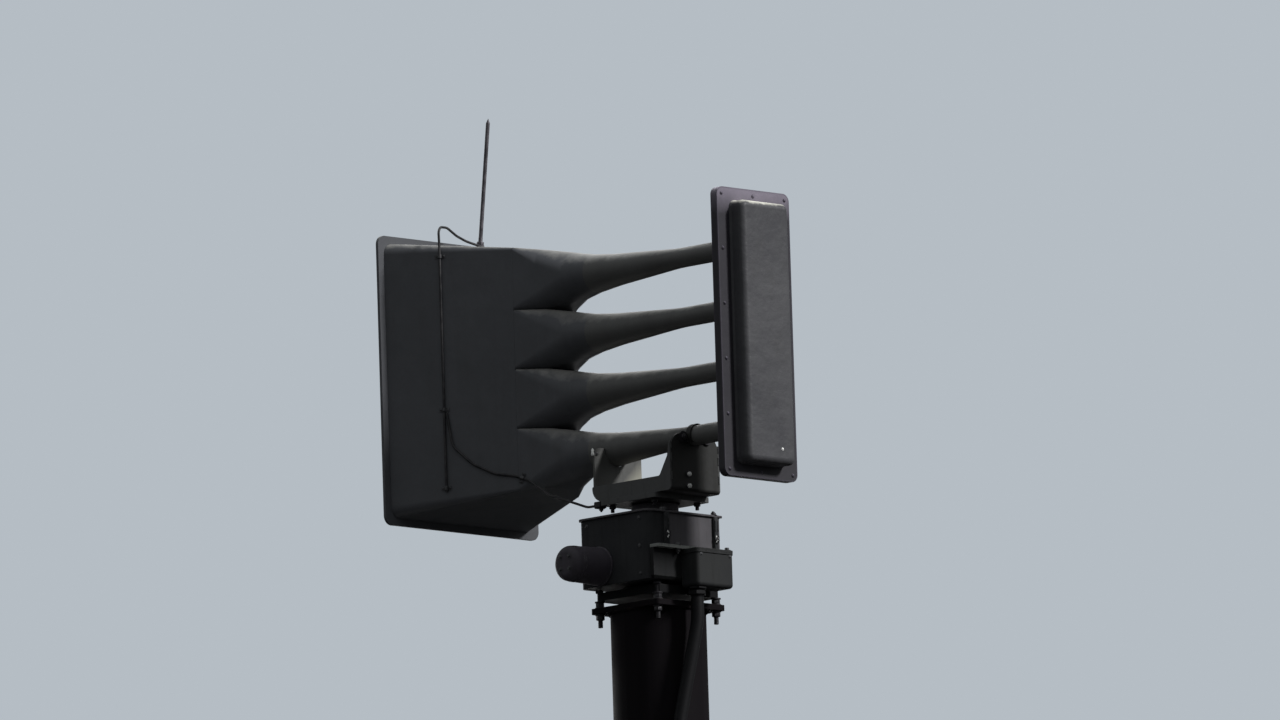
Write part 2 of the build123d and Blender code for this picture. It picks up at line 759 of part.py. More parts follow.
with BuildPart() as throat_strap:
    with BuildSketch(across(cradle_rear_y)):
        with Locations((0, lowest_cell_z)):
            Circle(pipe_seat_radius + throat_strap_plate)
            Circle(pipe_seat_radius, mode=Mode.SUBTRACT)
        with Locations((0, lowest_cell_z - throat_strap_drop)):
            Rectangle(
                2 * pipe_seat_radius,
                pipe_seat_radius,
                align=(Align.CENTER, Align.MAX),
                mode=Mode.SUBTRACT,
            )
    extrude(amount=-throat_strap_length)
    with BuildSketch(across(cradle_rear_y)):
        with Locations((0, lowest_cell_z - throat_strap_drop)):
            Rectangle(
                2 * (pipe_seat_radius + throat_strap_ear),
                throat_strap_drop + throat_strap_top,
                align=(Align.CENTER, Align.MIN),
            )
        with Locations((0, lowest_cell_z)):
            Circle(pipe_seat_radius, mode=Mode.SUBTRACT)
    extrude(amount=-throat_strap_plate)
throat_strap.part.label = "throat_strap"
export_step(throat_strap.part, "parts/throat_strap.step")

# Two bolts low on the rear plate, and one through each ear of the strap
strap_bolt_x = pipe_seat_radius + throat_strap_bolt_inset
with BuildPart() as cradle_bolts:
    with BuildSketch(across(cradle_rear_y)):
        for index in range(rear_bolt_count):
            level = cradle_bottom + rear_bolt_first_rise + index * rear_bolt_spacing
            with Locations((rear_bolt_x, level)):
                RegularPolygon(rear_bolt_flats / 2, 6, major_radius=False)
    extrude(amount=-rear_bolt_head)
    with BuildSketch(across(cradle_rear_y + throat_strap_plate)):
        with Locations((0, lowest_cell_z - throat_strap_bolt_drop)):
            with Locations((-strap_bolt_x, 0), (strap_bolt_x, 0)):
                RegularPolygon(throat_strap_bolt_flats / 2, 6, major_radius=False)
    extrude(amount=-throat_strap_bolt_head)
cradle_bolts.part.label = "cradle_bolts"
export_step(cradle_bolts.part, "parts/cradle_bolts.step")

# Horn throats: a straight pipe that opens into a cone of two slopes
for index, cell_z in enumerate(cell_heights):
    with BuildPart() as throat:
        with BuildSketch(Plane.YZ):
            with BuildLine():
                ends = []
                for wall in (0, throat_wall):
                    points = [(y, cell_z + radius - wall) for y, radius in throat_profile]
                    FilletPolyline(*points, radius=cone_bend_radius)
                    ends.append((points[0], points[-1]))
                (outer_rear, outer_front), (inner_rear, inner_front) = ends
                Line(outer_rear, inner_rear)
                Line(outer_front, inner_front)
            make_face()
        revolve(axis=Axis((0, 0, cell_z), (0, 1, 0)))
    throat.part.label = f"throat_{index + 1}"
    export_step(throat.part, f"parts/throat_{index + 1}.step")

# Horn cells: a round collar that swells to a rounded square, then fills its share of the bell
for index, cell_z in enumerate(cell_heights):
    top_step = end_cell_step if index == 0 else 0
    bottom_step = end_cell_step if index == cell_count - 1 else 0
    with BuildPart() as cell:
        for wall, mode in ((0, Mode.ADD), (cell_wall, Mode.SUBTRACT)):
            round_sections = []
            for y, diameter in (
                (cell_rear_y, cell_collar_diameter),
                (cell_rear_y - cell_swell_length, cell_swell_diameter),
            ):
                width = diameter - 2 * wall
                with BuildSketch(across(y)) as ring:
                    with Locations((0, cell_z)):
                        RectangleRounded(width, width, cell_round * width / 2)
                round_sections.append(ring.sketch)
            with BuildSketch(across(cell_square_y)) as square:
                with Locations((0, cell_z)):
                    RectangleRounded(
                        cell_flare_width - 2 * wall, cell_pitch - 2 * wall, cell_flare_corner - wall
                    )
            loft(sections=[*round_sections, square.sketch], ruled=True, mode=mode)
            with BuildSketch(across(bell_rear_y)) as mouth:
                with Locations((0, cell_z + (top_step - bottom_step) / 2)):
                    RectangleRounded(
                        cell_mouth_width - 2 * wall,
                        cell_pitch + top_step + bottom_step - 2 * wall,
                        cell_mouth_corner - wall,
                    )
            loft(sections=[square.sketch, mouth.sketch], mode=mode)
    cell.part.label = f"horn_cell_{index + 1}"
    export_step(cell.part, f"parts/horn_cell_{index + 1}.step")

with BuildPart() as horn_bell:
    for wall, mode in ((0, Mode.ADD), (bell_wall, Mode.SUBTRACT)):
        with BuildSketch(across(bell_rear_y)) as rear:
            with Locations((0, horn_z)):
                RectangleRounded(
                    cell_mouth_width - 2 * wall,
                    bell_rear_height - 2 * wall,
                    bell_rear_corner - wall,
                )
        with BuildSketch(across(bell_front_y)) as front:
            with Locations((0, horn_z)):
                RectangleRounded(
                    bell_front_width - 2 * wall, bell_front_height - 2 * wall, bell_edge_radius - wall
                )
        loft(sections=[rear.sketch, front.sketch], mode=mode)
horn_bell.part.label = "horn_bell"
export_step(horn_bell.part, "parts/horn_bell.step")

with BuildPart() as bell_rim:
    with BuildSketch(across(bell_front_y)):
        with Locations((0, horn_z)):
            RectangleRounded(
                bell_front_width + 2 * rim_lip, bell_front_height + 2 * rim_lip, rim_corner
            )
            RectangleRounded(
                bell_front_width - 2 * bell_wall,
                bell_front_height - 2 * bell_wall,
                bell_edge_radius - bell_wall,
                mode=Mode.SUBTRACT,
            )
    extrude(amount=rim_thickness)
bell_rim.part.label = "bell_rim"
export_step(bell_rim.part, "parts/bell_rim.step")

with BuildPart() as driver_plate:
    with BuildSketch(across(driver_face_y)):
        with Locations((0, horn_z)):
            RectangleRounded(driver_plate_width, driver_plate_height, driver_plate_corner)
    extrude(amount=-driver_plate_thickness)
driver_plate.part.label = "driver_plate"
export_step(driver_plate.part, "parts/driver_plate.step")

with BuildPart() as driver_cover:
    with BuildSketch(across(driver_face_y + driver_plate_thickness)):
        with Locations((0, horn_z)):
            RectangleRounded(driver_cover_width, driver_cover_height, driver_cover_edge)
    extrude(amount=-driver_cover_depth)
    fillet(driver_cover.faces().sort_by(Axis.Y)[-1].edges(), driver_cover_rounding)
driver_cover.part.label = "driver_cover"
export_step(driver_cover.part, "parts/driver_cover.step")

# Lightning rod on the bell's top
top_tilt = degrees(atan(top_slope))
rod_seat_z = horn_z + bell_half_height(rod_y)
rod_seat = Plane(
    origin=(0, rod_y, rod_seat_z), z_dir=(0, sin(radians(top_tilt)), cos(radians(top_tilt)))
)
rod_axis = Plane(
    origin=rod_seat.from_local_coords((0, 0, rod_foot_thickness)),
    z_dir=(0, sin(radians(rod_lean)), cos(radians(rod_lean))),
)
with BuildPart() as rod_base:
    with BuildSketch(rod_seat):
        Circle(rod_foot_diameter / 2)
    extrude(amount=rod_foot_thickness)
rod_base.part.label = "rod_base"
export_step(rod_base.part, "parts/rod_base.step")

with BuildPart() as lightning_rod:
    with BuildSketch(rod_seat.offset(rod_foot_thickness)):
        Circle(rod_socket_diameter / 2)
    extrude(amount=rod_socket_height)
    with BuildSketch(rod_axis.offset(rod_seat_depth)):
        Circle(rod_diameter / 2)
    extrude(amount=rod_length)
lightning_rod.part.label = "lightning_rod"
export_step(lightning_rod.part, "parts/lightning_rod.step")

# Ground cable: a down lead on the bell's left side and a branch to a lug on the turntable
side_angle = atan(side_slope)
side_normal = Vector(cos(side_angle), sin(side_angle), 0)
cable_lift = cable_diameter / 2 + cable_gap


def on_side(y, z, lift=cable_lift):
    """Point that stands off the bell's left side at y by the cable's lift."""
    return Vector(bell_half_width(y), y, z) + side_normal * lift


lead_top_z = horn_z + clip_rises[0]
bell_top_z = horn_z + bell_half_height(down_lead_y)
lead_start = (rod_socket_diameter / 2 + cable_start_gap, 0, rod_foot_thickness + cable_lift)
lead_points = (
    rod_seat.from_local_coords(lead_start),
    *[(x, y, bell_top_z + rise) for x, y, rise in lead_corners],
    on_side(down_lead_y, bell_top_z + lead_crest, cable_lift + lead_crest_lift),
    on_side(down_lead_y, lead_top_z + lead_drop),
    on_side(down_lead_y, horn_z + clip_rises[-1] - clip_length),
)
with BuildPart() as ground_cable:
    with BuildLine() as lead_path:
        FilletPolyline(*lead_points, radius=lead_radii)
    with BuildSketch(Plane(origin=lead_path.line @ 0, z_dir=lead_path.line % 0)):
        Circle(cable_diameter / 2)
    sweep(path=lead_path.line)
ground_cable.part.label = "ground_cable"
export_step(ground_cable.part, "parts/ground_cable.step")

rearward = Vector(-sin(side_angle), cos(side_angle), 0)
downward = Vector(0, 0, -1)
last_direction = (
    rearward * cos(radians(last_clip_slope)) + downward * sin(radians(last_clip_slope))
)
lug_x = turntable_width / 2 - lug_inset
lug_z = hub_top + turntable_thickness - lug_height / 2
lug_face = Vector(lug_x, -turntable_width / 2 - lug_reach, lug_z)
branch_points = (
    on_side(down_lead_y + cable_diameter, horn_z + clip_rises[1] - clip_length),
    *[on_side(y, horn_z - drop) for y, drop in branch_rail],
    on_side(last_clip_y, horn_z + last_clip_rise) - last_direction * last_clip_run,
    on_side(last_clip_y, horn_z + last_clip_rise) + last_direction * last_clip_run,
    *[(x, y, horn_z - drop) for x, y, drop in branch_hang],
    lug_face + Vector(0, -branch_end_run, 0),
    lug_face,
)
with BuildPart() as branch_cable:
    with BuildLine() as branch_path:
        FilletPolyline(*branch_points, radius=branch_radii)
    with BuildSketch(Plane(origin=branch_path.line @ 0, z_dir=branch_path.line % 0)):
        Circle(cable_diameter / 2)
    sweep(path=branch_path.line)
branch_cable.part.label = "branch_cable"
export_step(branch_cable.part, "parts/branch_cable.step")

with BuildPart() as cable_lug:
    with BuildSketch(across(-turntable_width / 2)):
        with Locations((lug_x, lug_z)):
            RectangleRounded(lug_width, lug_height, lug_height / 4)
    extrude(amount=lug_reach)
cable_lug.part.label = "cable_lug"
export_step(cable_lug.part, "parts/cable_lug.step")

# Clips: a saddle over the cable with a foot on either side
clip_seats = [
    (on_side(down_lead_y, horn_z + rise, 0), downward) for rise in clip_rises
]
clip_seats.append((on_side(last_clip_y, horn_z + last_clip_rise, 0), last_direction))
with BuildPart() as cable_clips:
    for seat, direction in clip_seats:
        start = seat - direction * (clip_length / 2)
        with BuildSketch(Plane(origin=start, x_dir=side_normal.cross(direction), z_dir=direction)):
            Rectangle(clip_width, clip_thickness, align=(Align.CENTER, Align.MIN))
            with Locations((0, cable_lift)):
                Circle(cable_lift + clip_thickness)
                Circle(cable_diameter / 2 + cable_gap / 2, mode=Mode.SUBTRACT)
            Rectangle(
                cable_diameter + cable_gap,
                cable_lift,
                align=(Align.CENTER, Align.MIN),
                mode=Mode.SUBTRACT,
            )
            Rectangle(
                clip_width, clip_width, align=(Align.CENTER, Align.MAX), mode=Mode.SUBTRACT
            )
        extrude(amount=clip_length)
cable_clips.part.label = "cable_clips"
export_step(cable_clips.part, "parts/cable_clips.step")
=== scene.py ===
import random
import bpy
import bmesh
from math import atan, cos, pi, radians, sin, tau
from mathutils import Matrix, Vector


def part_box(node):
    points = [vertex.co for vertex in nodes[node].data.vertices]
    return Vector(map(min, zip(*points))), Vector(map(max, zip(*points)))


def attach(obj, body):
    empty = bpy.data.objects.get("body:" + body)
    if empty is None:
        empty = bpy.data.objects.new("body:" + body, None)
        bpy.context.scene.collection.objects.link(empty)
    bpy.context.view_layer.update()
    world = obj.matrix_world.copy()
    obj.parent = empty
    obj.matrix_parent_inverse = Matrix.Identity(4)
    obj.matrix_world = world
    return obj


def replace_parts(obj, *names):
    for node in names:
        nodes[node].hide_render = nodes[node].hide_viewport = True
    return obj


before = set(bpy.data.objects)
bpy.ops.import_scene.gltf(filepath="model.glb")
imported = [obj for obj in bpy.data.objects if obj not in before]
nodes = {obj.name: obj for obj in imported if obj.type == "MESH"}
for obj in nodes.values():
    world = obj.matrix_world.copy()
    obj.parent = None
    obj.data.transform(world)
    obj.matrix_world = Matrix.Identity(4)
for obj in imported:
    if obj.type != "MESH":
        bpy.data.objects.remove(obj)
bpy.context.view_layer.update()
scene = bpy.context.scene
print("frame loaded:", len(nodes), "nodes")


def middleOf(node):
    low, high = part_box(node)
    return (low + high) / 2


tower = "tower"
sirenHead = "siren_head"
upAxis = (0, 0, 1)
downAxis = (0, 0, -1)
rearAxis = (0, 1, 0)
frontAxis = (0, -1, 0)
motorAxis = (1, 0, 0)
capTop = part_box("pole_cap_plate")[1].z
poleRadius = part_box("pole_shaft")[1].x
hornAxis = middleOf("horn_bell").z
throatCount = 4
throatPitch = (middleOf("throat_1").z - middleOf("throat_4").z) / (throatCount - 1)


# A shader socket that can stand in sums
class Signal:
    def __init__(self, tree, socket):
        self.tree = tree
        self.socket = socket

    def maths(self, operation, other, swapped=False):
        node = self.tree.nodes.new("ShaderNodeMath")
        node.operation = operation
        mine, theirs = (1, 0) if swapped else (0, 1)
        self.tree.links.new(self.socket, node.inputs[mine])
        if isinstance(other, Signal):
            self.tree.links.new(other.socket, node.inputs[theirs])
        else:
            node.inputs[theirs].default_value = other
        return Signal(self.tree, node.outputs[0])

    def __add__(self, other):
        return self.maths("ADD", other)

    __radd__ = __add__

    def __sub__(self, other):
        return self.maths("SUBTRACT", other)

    def __rsub__(self, other):
        return self.maths("SUBTRACT", other, True)

    def __mul__(self, other):
        return self.maths("MULTIPLY", other)

    __rmul__ = __mul__

    def atMost(self, other):
        return self.maths("MINIMUM", other)

    def atLeast(self, other):
        return self.maths("MAXIMUM", other)


# A tree that gets its nodes by kind
class Graph:
    def __init__(self, tree):
        self.tree = tree
        self.tree.nodes.clear()

    # Colours are given without their alpha
    def fill(self, socket, value):
        if isinstance(value, Signal):
            self.tree.links.new(value.socket, socket)
        else:
            socket.default_value = (*value, 1) if socket.type == "RGBA" else value

    def add(self, kind, sockets=None, output=0, **settings):
        node = self.tree.nodes.new("ShaderNode" + kind)
        for key, value in settings.items():
            setattr(node, key, value)
        for key, value in (sockets or {}).items():
            self.fill(node.inputs[key], value)
        return Signal(self.tree, node.outputs[output])

    # One of the three parts of a vector
    def part(self, value, axis):
        return self.add("SeparateXYZ", {0: value}, axis)

    def rangeOf(self, value, low, high, newLow=0.0, newHigh=1.0):
        return self.add("MapRange", {0: value, 1: low, 2: high, 3: newLow, 4: newHigh})


# How far the rounded normal has to leave the flat one where wear starts and where it is full
wearLevels = (0.995, 0.86)
bevelSamples = 4


# A material that gets its numbers from a look
class Finish(Graph):
    def __init__(self, name, look):
        self.look = look
        self.material = bpy.data.materials.new(name)
        self.material.use_nodes = True
        super().__init__(self.material.node_tree)
        self.shader = self.tree.nodes.new("ShaderNodeBsdfPrincipled")
        output = self.tree.nodes.new("ShaderNodeOutputMaterial")
        self.tree.links.new(self.shader.outputs[0], output.inputs[0])
        self.place = self.add("TexCoord", output="Object")

    def noise(self, scale, detail, roughness=0.55, place=None):
        sockets = {"Vector": place or self.place, "Scale": scale, "Detail": detail, "Roughness": roughness}
        return self.add("TexNoise", sockets)

    # Soft patches, where a noise rises from its low level to its high one
    def patches(self, key):
        scale, detail, roughness, low, high = self.look[key]
        return self.rangeOf(self.noise(scale, detail, roughness), low, high)

    # The same, drawn out into upright streaks
    def runs(self):
        across, along, detail, roughness, low, high = self.look["runs"]
        place = self.add("Mapping", {"Vector": self.place, "Scale": (across, across, along)})
        return self.rangeOf(self.noise(1.0, detail, roughness, place), low, high)

    # Noises of several scales and details, added up by their shares
    def layers(self):
        return sum(self.noise(scale, detail) * share for scale, detail, share in self.look["layers"])

    def blend(self, factor, first, second):
        return self.add("Mix", {0: factor, 6: first, 7: second}, 2, data_type="RGBA")

    # Roughness from its first level to its last, as the signal goes from 0 to 1
    def rough(self, value):
        return self.rangeOf(value, 0.0, 1.0, *self.look["rough"])

    def paint(self, **values):
        for socket, value in values.items():
            self.fill(self.shader.inputs[socket.replace("_", " ")], value)
        return self.material

    def bump(self, height, distance, strength, edge):
        sockets = {"Height": height, "Distance": distance, "Strength": strength}
        if edge:
            sockets["Normal"] = self.add("Bevel", {"Radius": edge}, samples=bevelSamples)
        return self.add("Bump", sockets)

    def coat(self, colour, rough, height, **others):
        look = self.look
        normal = self.bump(height, *look["relief"], look.get("edge"))
        return self.paint(
            Base_Color=colour, Roughness=rough, Normal=normal, Specular_IOR_Level=look["shine"], **others,
        )

    # 1 near sharp edges, where paint wears
    def edgeWear(self, radius):
        rounded = self.add("Bevel", {"Radius": radius}, samples=bevelSamples)
        flat = self.add("NewGeometry", output="True Normal")
        alike = self.add("VectorMath", {0: rounded, 1: flat}, "Value", operation="DOT_PRODUCT")
        return self.rangeOf(alike, *wearLevels)


def mixed(first, second, share):
    return first * share + second * (1 - share)


# Cloud, patch and the like: a noise's scale, detail, roughness and two levels. Runs: two scales first.
# Layers: scale, detail and share of each noise. Relief: distance and strength.
gelcoatLook = {
    "light": (0.098, 0.101, 0.112),
    "dull": (0.077, 0.080, 0.089),
    "grime": (0.050, 0.050, 0.047),
    # paintedTopLight: a painted highlight on faces that look up, not a colour of the gelcoat
    "paintedTopLight": (0.30, 0.295, 0.28),
    "cloud": (2.6, 7, 0.62, 0.34, 0.68),
    "patch": (17.0, 5, 0.6, 0.40, 0.66),
    "runs": (11.0, 1.6, 6, 0.68, 0.5, 0.8),
    "speckle": (240.0, 3), "specks": (0.42, 0.6),
    "cloudShare": 0.7, "runShare": 0.3, "speckShare": 0.1, "speckHeight": 0.04,
    "topLightRange": (0.55, 1.0, 0.0, 0.75), "topLightPatch": 0.3,
    "layers": ((6.0, 3, 0.9), (19.0, 3, 0.35), (60.0, 3, 0.08)),
    "relief": (0.0035, 0.6), "edge": 0.0025, "shine": 0.28, "rough": (0.46, 0.66), "roughCloud": 0.6,
}


def makeGelcoat(name, look):
    finish = Finish(name, look)
    cloud = finish.patches("cloud")
    patch = finish.patches("patch")
    runs = finish.runs()
    speckle = finish.noise(*look["speckle"])
    base = finish.blend(mixed(cloud, patch, look["cloudShare"]), look["dull"], look["light"])
    base = finish.blend(runs * look["runShare"], base, look["grime"])
    base = finish.blend(finish.rangeOf(speckle, *look["specks"]) * look["speckShare"], base, look["grime"])
    # Painted highlight: lighter where it faces up, and, on the driver plate, painted light over a band near
    # its top
    upward = finish.part(finish.add("NewGeometry", output="Normal"), 2) + patch * look["topLightPatch"]
    base = finish.blend(finish.rangeOf(upward, *look["topLightRange"]), base, look["paintedTopLight"])
    # Painted light: the driver plate turns lighter over a band at its top edge
    if "paintedTopBand" in look:
        level = finish.part(finish.place, 2) + patch * look["topBandPatch"]
        base = finish.blend(finish.rangeOf(level, *look["paintedTopBand"]), base, look["paintedTopLight"])
    # Edge wear on the driver plate, painted lighter and purple: partly worn edges, partly a painted rim of
    # light along them
    if "rimLightAndWearEdge" in look:
        least, more = look["rimLightAndWearShare"]
        worn = finish.edgeWear(look["rimLightAndWearEdge"]) * (least + patch * more)
        base = finish.blend(worn.atMost(1.0), base, look["worn"])
    # Uneven layers of the laminate under the gelcoat
    height = speckle * look["speckHeight"] + finish.layers()
    return finish.coat(base, finish.rough(mixed(cloud, runs, look["roughCloud"])), height)


castingLook = {
    "paint": (0.085, 0.086, 0.090),
    "faded": (0.108, 0.110, 0.114),
    "grime": (0.030, 0.029, 0.027),
    "bare": (0.22, 0.22, 0.22),
    "cloud": (9.0, 6, 0.55, 0.38, 0.66),
    "runs": (60.0, 5.0, 4, 0.6, 0.52, 0.72),
    "chips": (58.0, 5, 0.65, 0.46, 0.56),
    "runShare": 0.4, "chipShare": 0.75, "chipDepth": 0.25, "chipPolish": 0.3,
    "layers": ((420.0, 3, 0.5), (130.0, 4, 0.5)),
    "relief": (0.0009, 0.7), "edge": 0.0022, "shine": 0.24, "rough": (0.52, 0.72),
}


def makeCasting(name, look):
    finish = Finish(name, look)
    cloud = finish.patches("cloud")
    base = finish.blend(cloud, look["paint"], look["faded"])
    base = finish.blend(finish.runs() * look["runShare"], base, look["grime"])
    chips = (finish.edgeWear(look["edge"]) * finish.patches("chips")).atMost(1.0)
    base = finish.blend(chips * look["chipShare"], base, look["bare"])
    height = finish.layers() - chips * look["chipDepth"]
    return finish.coat(base, finish.rough(cloud - chips * look["chipPolish"]), height)


zincLook = {
    "bright": (0.36, 0.365, 0.37),
    "dull": (0.17, 0.172, 0.176),
    "rust": (0.10, 0.045, 0.022),
    "cloud": (90.0, 5, 0.55, 0.36, 0.64),
    "rusting": (170.0, 6, 0.7, 0.6, 0.7), "rustShare": 0.6, "metal": 0.7, "grain": (600.0, 2),
    "relief": (0.0003, 0.5), "edge": 0.0006, "shine": 0.5, "rough": (0.58, 0.4),
}


def makeZinc(name, look):
    finish = Finish(name, look)
    cloud = finish.patches("cloud")
    rust = finish.patches("rusting")
    base = finish.blend(cloud, look["dull"], look["bright"])
    base = finish.blend(rust * look["rustShare"], base, look["rust"])
    metal = (1 - rust) * look["metal"]
    return finish.coat(base, finish.rough(cloud), finish.noise(*look["grain"]), Metallic=metal)


galvanizedLook = {
    "pale": (0.098, 0.100, 0.101),
    "dark": (0.068, 0.069, 0.070),
    "stain": (0.034, 0.033, 0.030),
    "cloud": (6.0, 6, 0.55, 0.36, 0.66),
    "runs": (45.0, 3.0, 4, 0.6, 0.54, 0.74),
    "spangle": 95.0, "spangleShare": 0.6, "spangleDepth": 0.1, "runShare": 0.4, "grain": (210.0, 3),
    "relief": (0.0004, 0.6), "edge": 0.0016, "shine": 0.4, "metal": (0.25, 0.1), "rough": (0.5, 0.12, 0.1),
}


def makeGalvanized(name, look):
    finish = Finish(name, look)
    sockets = {"Vector": finish.place, "Scale": look["spangle"]}
    facet = finish.part(finish.add("TexVoronoi", sockets, "Color", feature="F1"), 0)
    cloud = finish.patches("cloud")
    base = finish.blend(mixed(facet, cloud, look["spangleShare"]), look["dark"], look["pale"])
    base = finish.blend(finish.runs() * look["runShare"], base, look["stain"])
    # Painted sunlight: lighter towards a lower corner, where a pool of light falls on the plate
    if "sunlitCorner" in look:
        across, clouded = look["sunlitMix"]
        towardSunlitCorner = finish.part(finish.place, 0) * across - finish.part(finish.place, 2) + cloud * clouded
        base = finish.blend(finish.rangeOf(towardSunlitCorner, *look["sunlitCorner"]), base, look["sunlitTone"])
    metal, metalFacet = look["metal"]
    rough, roughFacet, roughCloud = look["rough"]
    uneven = rough + facet * roughFacet + cloud * roughCloud
    height = finish.noise(*look["grain"]) + facet * look["spangleDepth"]
    return finish.coat(base, uneven, height, Metallic=metal + facet * metalFacet)


poleLook = {
    "paint": (0.0048, 0.0037, 0.0048),
    "faded": (0.0088, 0.0070, 0.0086),
    "rust": (0.032, 0.017, 0.011),
    "cloud": (2.4, 6, 0.55, 0.36, 0.68),
    "runs": (30.0, 0.7, 5, 0.6, 0.5, 0.72),
    "spots": (42.0, 6, 0.7, 0.66, 0.72),
    "chips": (60.0, 4, 0.55, 0.48, 0.6),
    "cloudShare": 0.6, "spotShare": 0.8, "rustShare": 0.8, "rustDepth": 0.4,
    "layers": ((330.0, 3, 0.5), (40.0, 3, 0.5)),
    "relief": (0.0008, 0.6), "edge": 0.0025, "shine": 0.07, "rough": (0.62, 0.84),
}


def makePolePaint(name, look):
    finish = Finish(name, look)
    cloud = finish.patches("cloud")
    faded = mixed(cloud, finish.runs(), look["cloudShare"])
    base = finish.blend(faded, look["paint"], look["faded"])
    chips = finish.edgeWear(look["edge"]) * finish.patches("chips")
    rusted = (finish.patches("spots") * look["spotShare"] + chips).atMost(1.0)
    base = finish.blend(rusted * look["rustShare"], base, look["rust"])
    height = finish.layers() - rusted * look["rustDepth"]
    return finish.coat(base, finish.rough(cloud + rusted), height)


cableLook = {
    "dark": (0.024, 0.024, 0.027),
    "worn": (0.058, 0.056, 0.058),
    "cloud": (40.0, 5, 0.55, 0.4, 0.64),
    "grain": (700.0, 2), "relief": (0.0002, 0.5), "metal": 0.3, "shine": 0.35, "rough": (0.48, 0.7),
}


def makeCable(name, look):
    finish = Finish(name, look)
    cloud = finish.patches("cloud")
    base = finish.blend(cloud, look["dark"], look["worn"])
    return finish.coat(base, finish.rough(cloud), finish.noise(*look["grain"]), Metallic=look["metal"])


throatLook = dict(gelcoatLook, light=(0.122, 0.122, 0.120), dull=(0.100, 0.100, 0.098))
# The cover's paintedTopLight is near white: a painted highlight along its top edge
coverLook = dict(
    gelcoatLook, light=(0.081, 0.081, 0.087), dull=(0.055, 0.055, 0.062), paintedTopLight=(0.95, 0.93, 0.82),
    edge=0.004, runs=(13.0, 7.0, 6, 0.68, 0.5, 0.8), relief=(0.008, 0.6), rough=(0.42, 0.62),
    layers=((9.0, 3, 0.9), (26.0, 3, 0.35), (60.0, 3, 0.08)),
)
plateLook = dict(
    gelcoatLook, light=(0.032, 0.030, 0.038), dull=(0.025, 0.023, 0.030), paintedTopLight=(0.45, 0.40, 0.50),
    # worn: the edge tone, partly real wear and partly a painted rim of light
    edge=0.0035, rimLightAndWearEdge=0.011, rimLightAndWearShare=(0.5, 0.4), worn=(0.082, 0.072, 0.100),
    # paintedTopBand: painted light along the plate's top edge
    paintedTopBand=(13.395, 13.475, 0.0, 0.42), topBandPatch=0.012, rough=(0.5, 0.7),
)
boxLook = dict(
    castingLook, paint=(0.024, 0.025, 0.026), faded=(0.032, 0.033, 0.033),
    grime=(0.014, 0.014, 0.013), bare=(0.10, 0.10, 0.10), shine=0.14, rough=(0.6, 0.8),
)
darkCastLook = dict(
    boxLook, paint=(0.027, 0.028, 0.031), faded=(0.038, 0.039, 0.041), grime=(0.016, 0.016, 0.015),
    shine=0.1,
)
gearCaseLook = dict(
    darkCastLook, paint=(0.014, 0.0145, 0.0155), faded=(0.020, 0.0205, 0.021),
    grime=(0.009, 0.009, 0.0085),
)
baseCastLook = dict(
    boxLook, paint=(0.007, 0.007, 0.008), faded=(0.012, 0.012, 0.013), grime=(0.005, 0.005, 0.005),
    bare=(0.04, 0.04, 0.04), shine=0.08,
)
motorLook = dict(castingLook, paint=(0.047, 0.041, 0.052), faded=(0.061, 0.055, 0.067))
caseLook = dict(castingLook, paint=(0.068, 0.064, 0.071), faded=(0.088, 0.083, 0.091))
# A lighter copy of the casting paint: painted rim light on the case flange
rimLitFlangeLook = dict(castingLook, paint=(0.20, 0.21, 0.20), faded=(0.26, 0.27, 0.255))
conduitLook = dict(
    galvanizedLook, pale=(0.0085, 0.0085, 0.0098), dark=(0.0058, 0.0058, 0.0068),
    stain=(0.0050, 0.0046, 0.0042), shine=0.2,
)
# A darker copy of the galvanized finish: painted shade on the rear plate and the throat strap
shadedRearPlateLook = dict(
    galvanizedLook, pale=(0.046, 0.046, 0.045), dark=(0.030, 0.030, 0.029),
    stain=(0.018, 0.017, 0.015), shine=0.2,
)
# The front plate's sunlitCorner is a painted pool of sunlight at its lower corner
frontPlateLook = dict(
    galvanizedLook, pale=(0.112, 0.112, 0.108), dark=(0.082, 0.082, 0.079),
    sunlitCorner=(-12.60, -12.55), sunlitMix=(-0.9, 0.02), sunlitTone=(0.30, 0.295, 0.25),
)
screwLook = dict(
    zincLook, bright=(0.085, 0.085, 0.090), dull=(0.045, 0.046, 0.050), rust=(0.05, 0.026, 0.015),
    metal=0.5,
)
darkZincLook = dict(
    zincLook, bright=(0.036, 0.034, 0.040), dull=(0.018, 0.017, 0.020), rust=(0.030, 0.016, 0.010),
    metal=0.3,
)
# Near-white paint that stands for glints: painted highlights on bolt heads, screws, the edge fitting and the
# plug
glintWhiteLook = dict(
    zincLook, bright=(0.95, 0.95, 0.93), dull=(0.80, 0.80, 0.78), rust=(0.55, 0.5, 0.42), metal=0.1,
)
rodLook = dict(cableLook, dark=(0.085, 0.080, 0.090), worn=(0.16, 0.15, 0.165), metal=0.6)

finishes = {}
for maker, looks in (
    (makeGelcoat, {"gelcoat": gelcoatLook, "throat": throatLook, "cover": coverLook, "plate": plateLook}),
    (makeCasting, {
        "upperCase": caseLook, "lowerCase": darkCastLook, "gearCase": gearCaseLook, "baseCast": baseCastLook,
        "box": boxLook, "motor": motorLook, "flange": rimLitFlangeLook,
    }),
    (makeGalvanized, {
        "galvanized": galvanizedLook, "conduit": conduitLook, "shadedRearPlate": shadedRearPlateLook,
        "frontPlate": frontPlateLook,
    }),
    (makeZinc, {"zinc": zincLook, "screw": screwLook, "darkZinc": darkZincLook, "bright": glintWhiteLook}),
    (makePolePaint, {"pole": poleLook}),
    (makeCable, {"cable": cableLook, "rod": rodLook}),
):
    for name, look in looks.items():
        finishes[name] = maker(name, look)
print("finishes made:", len(finishes))

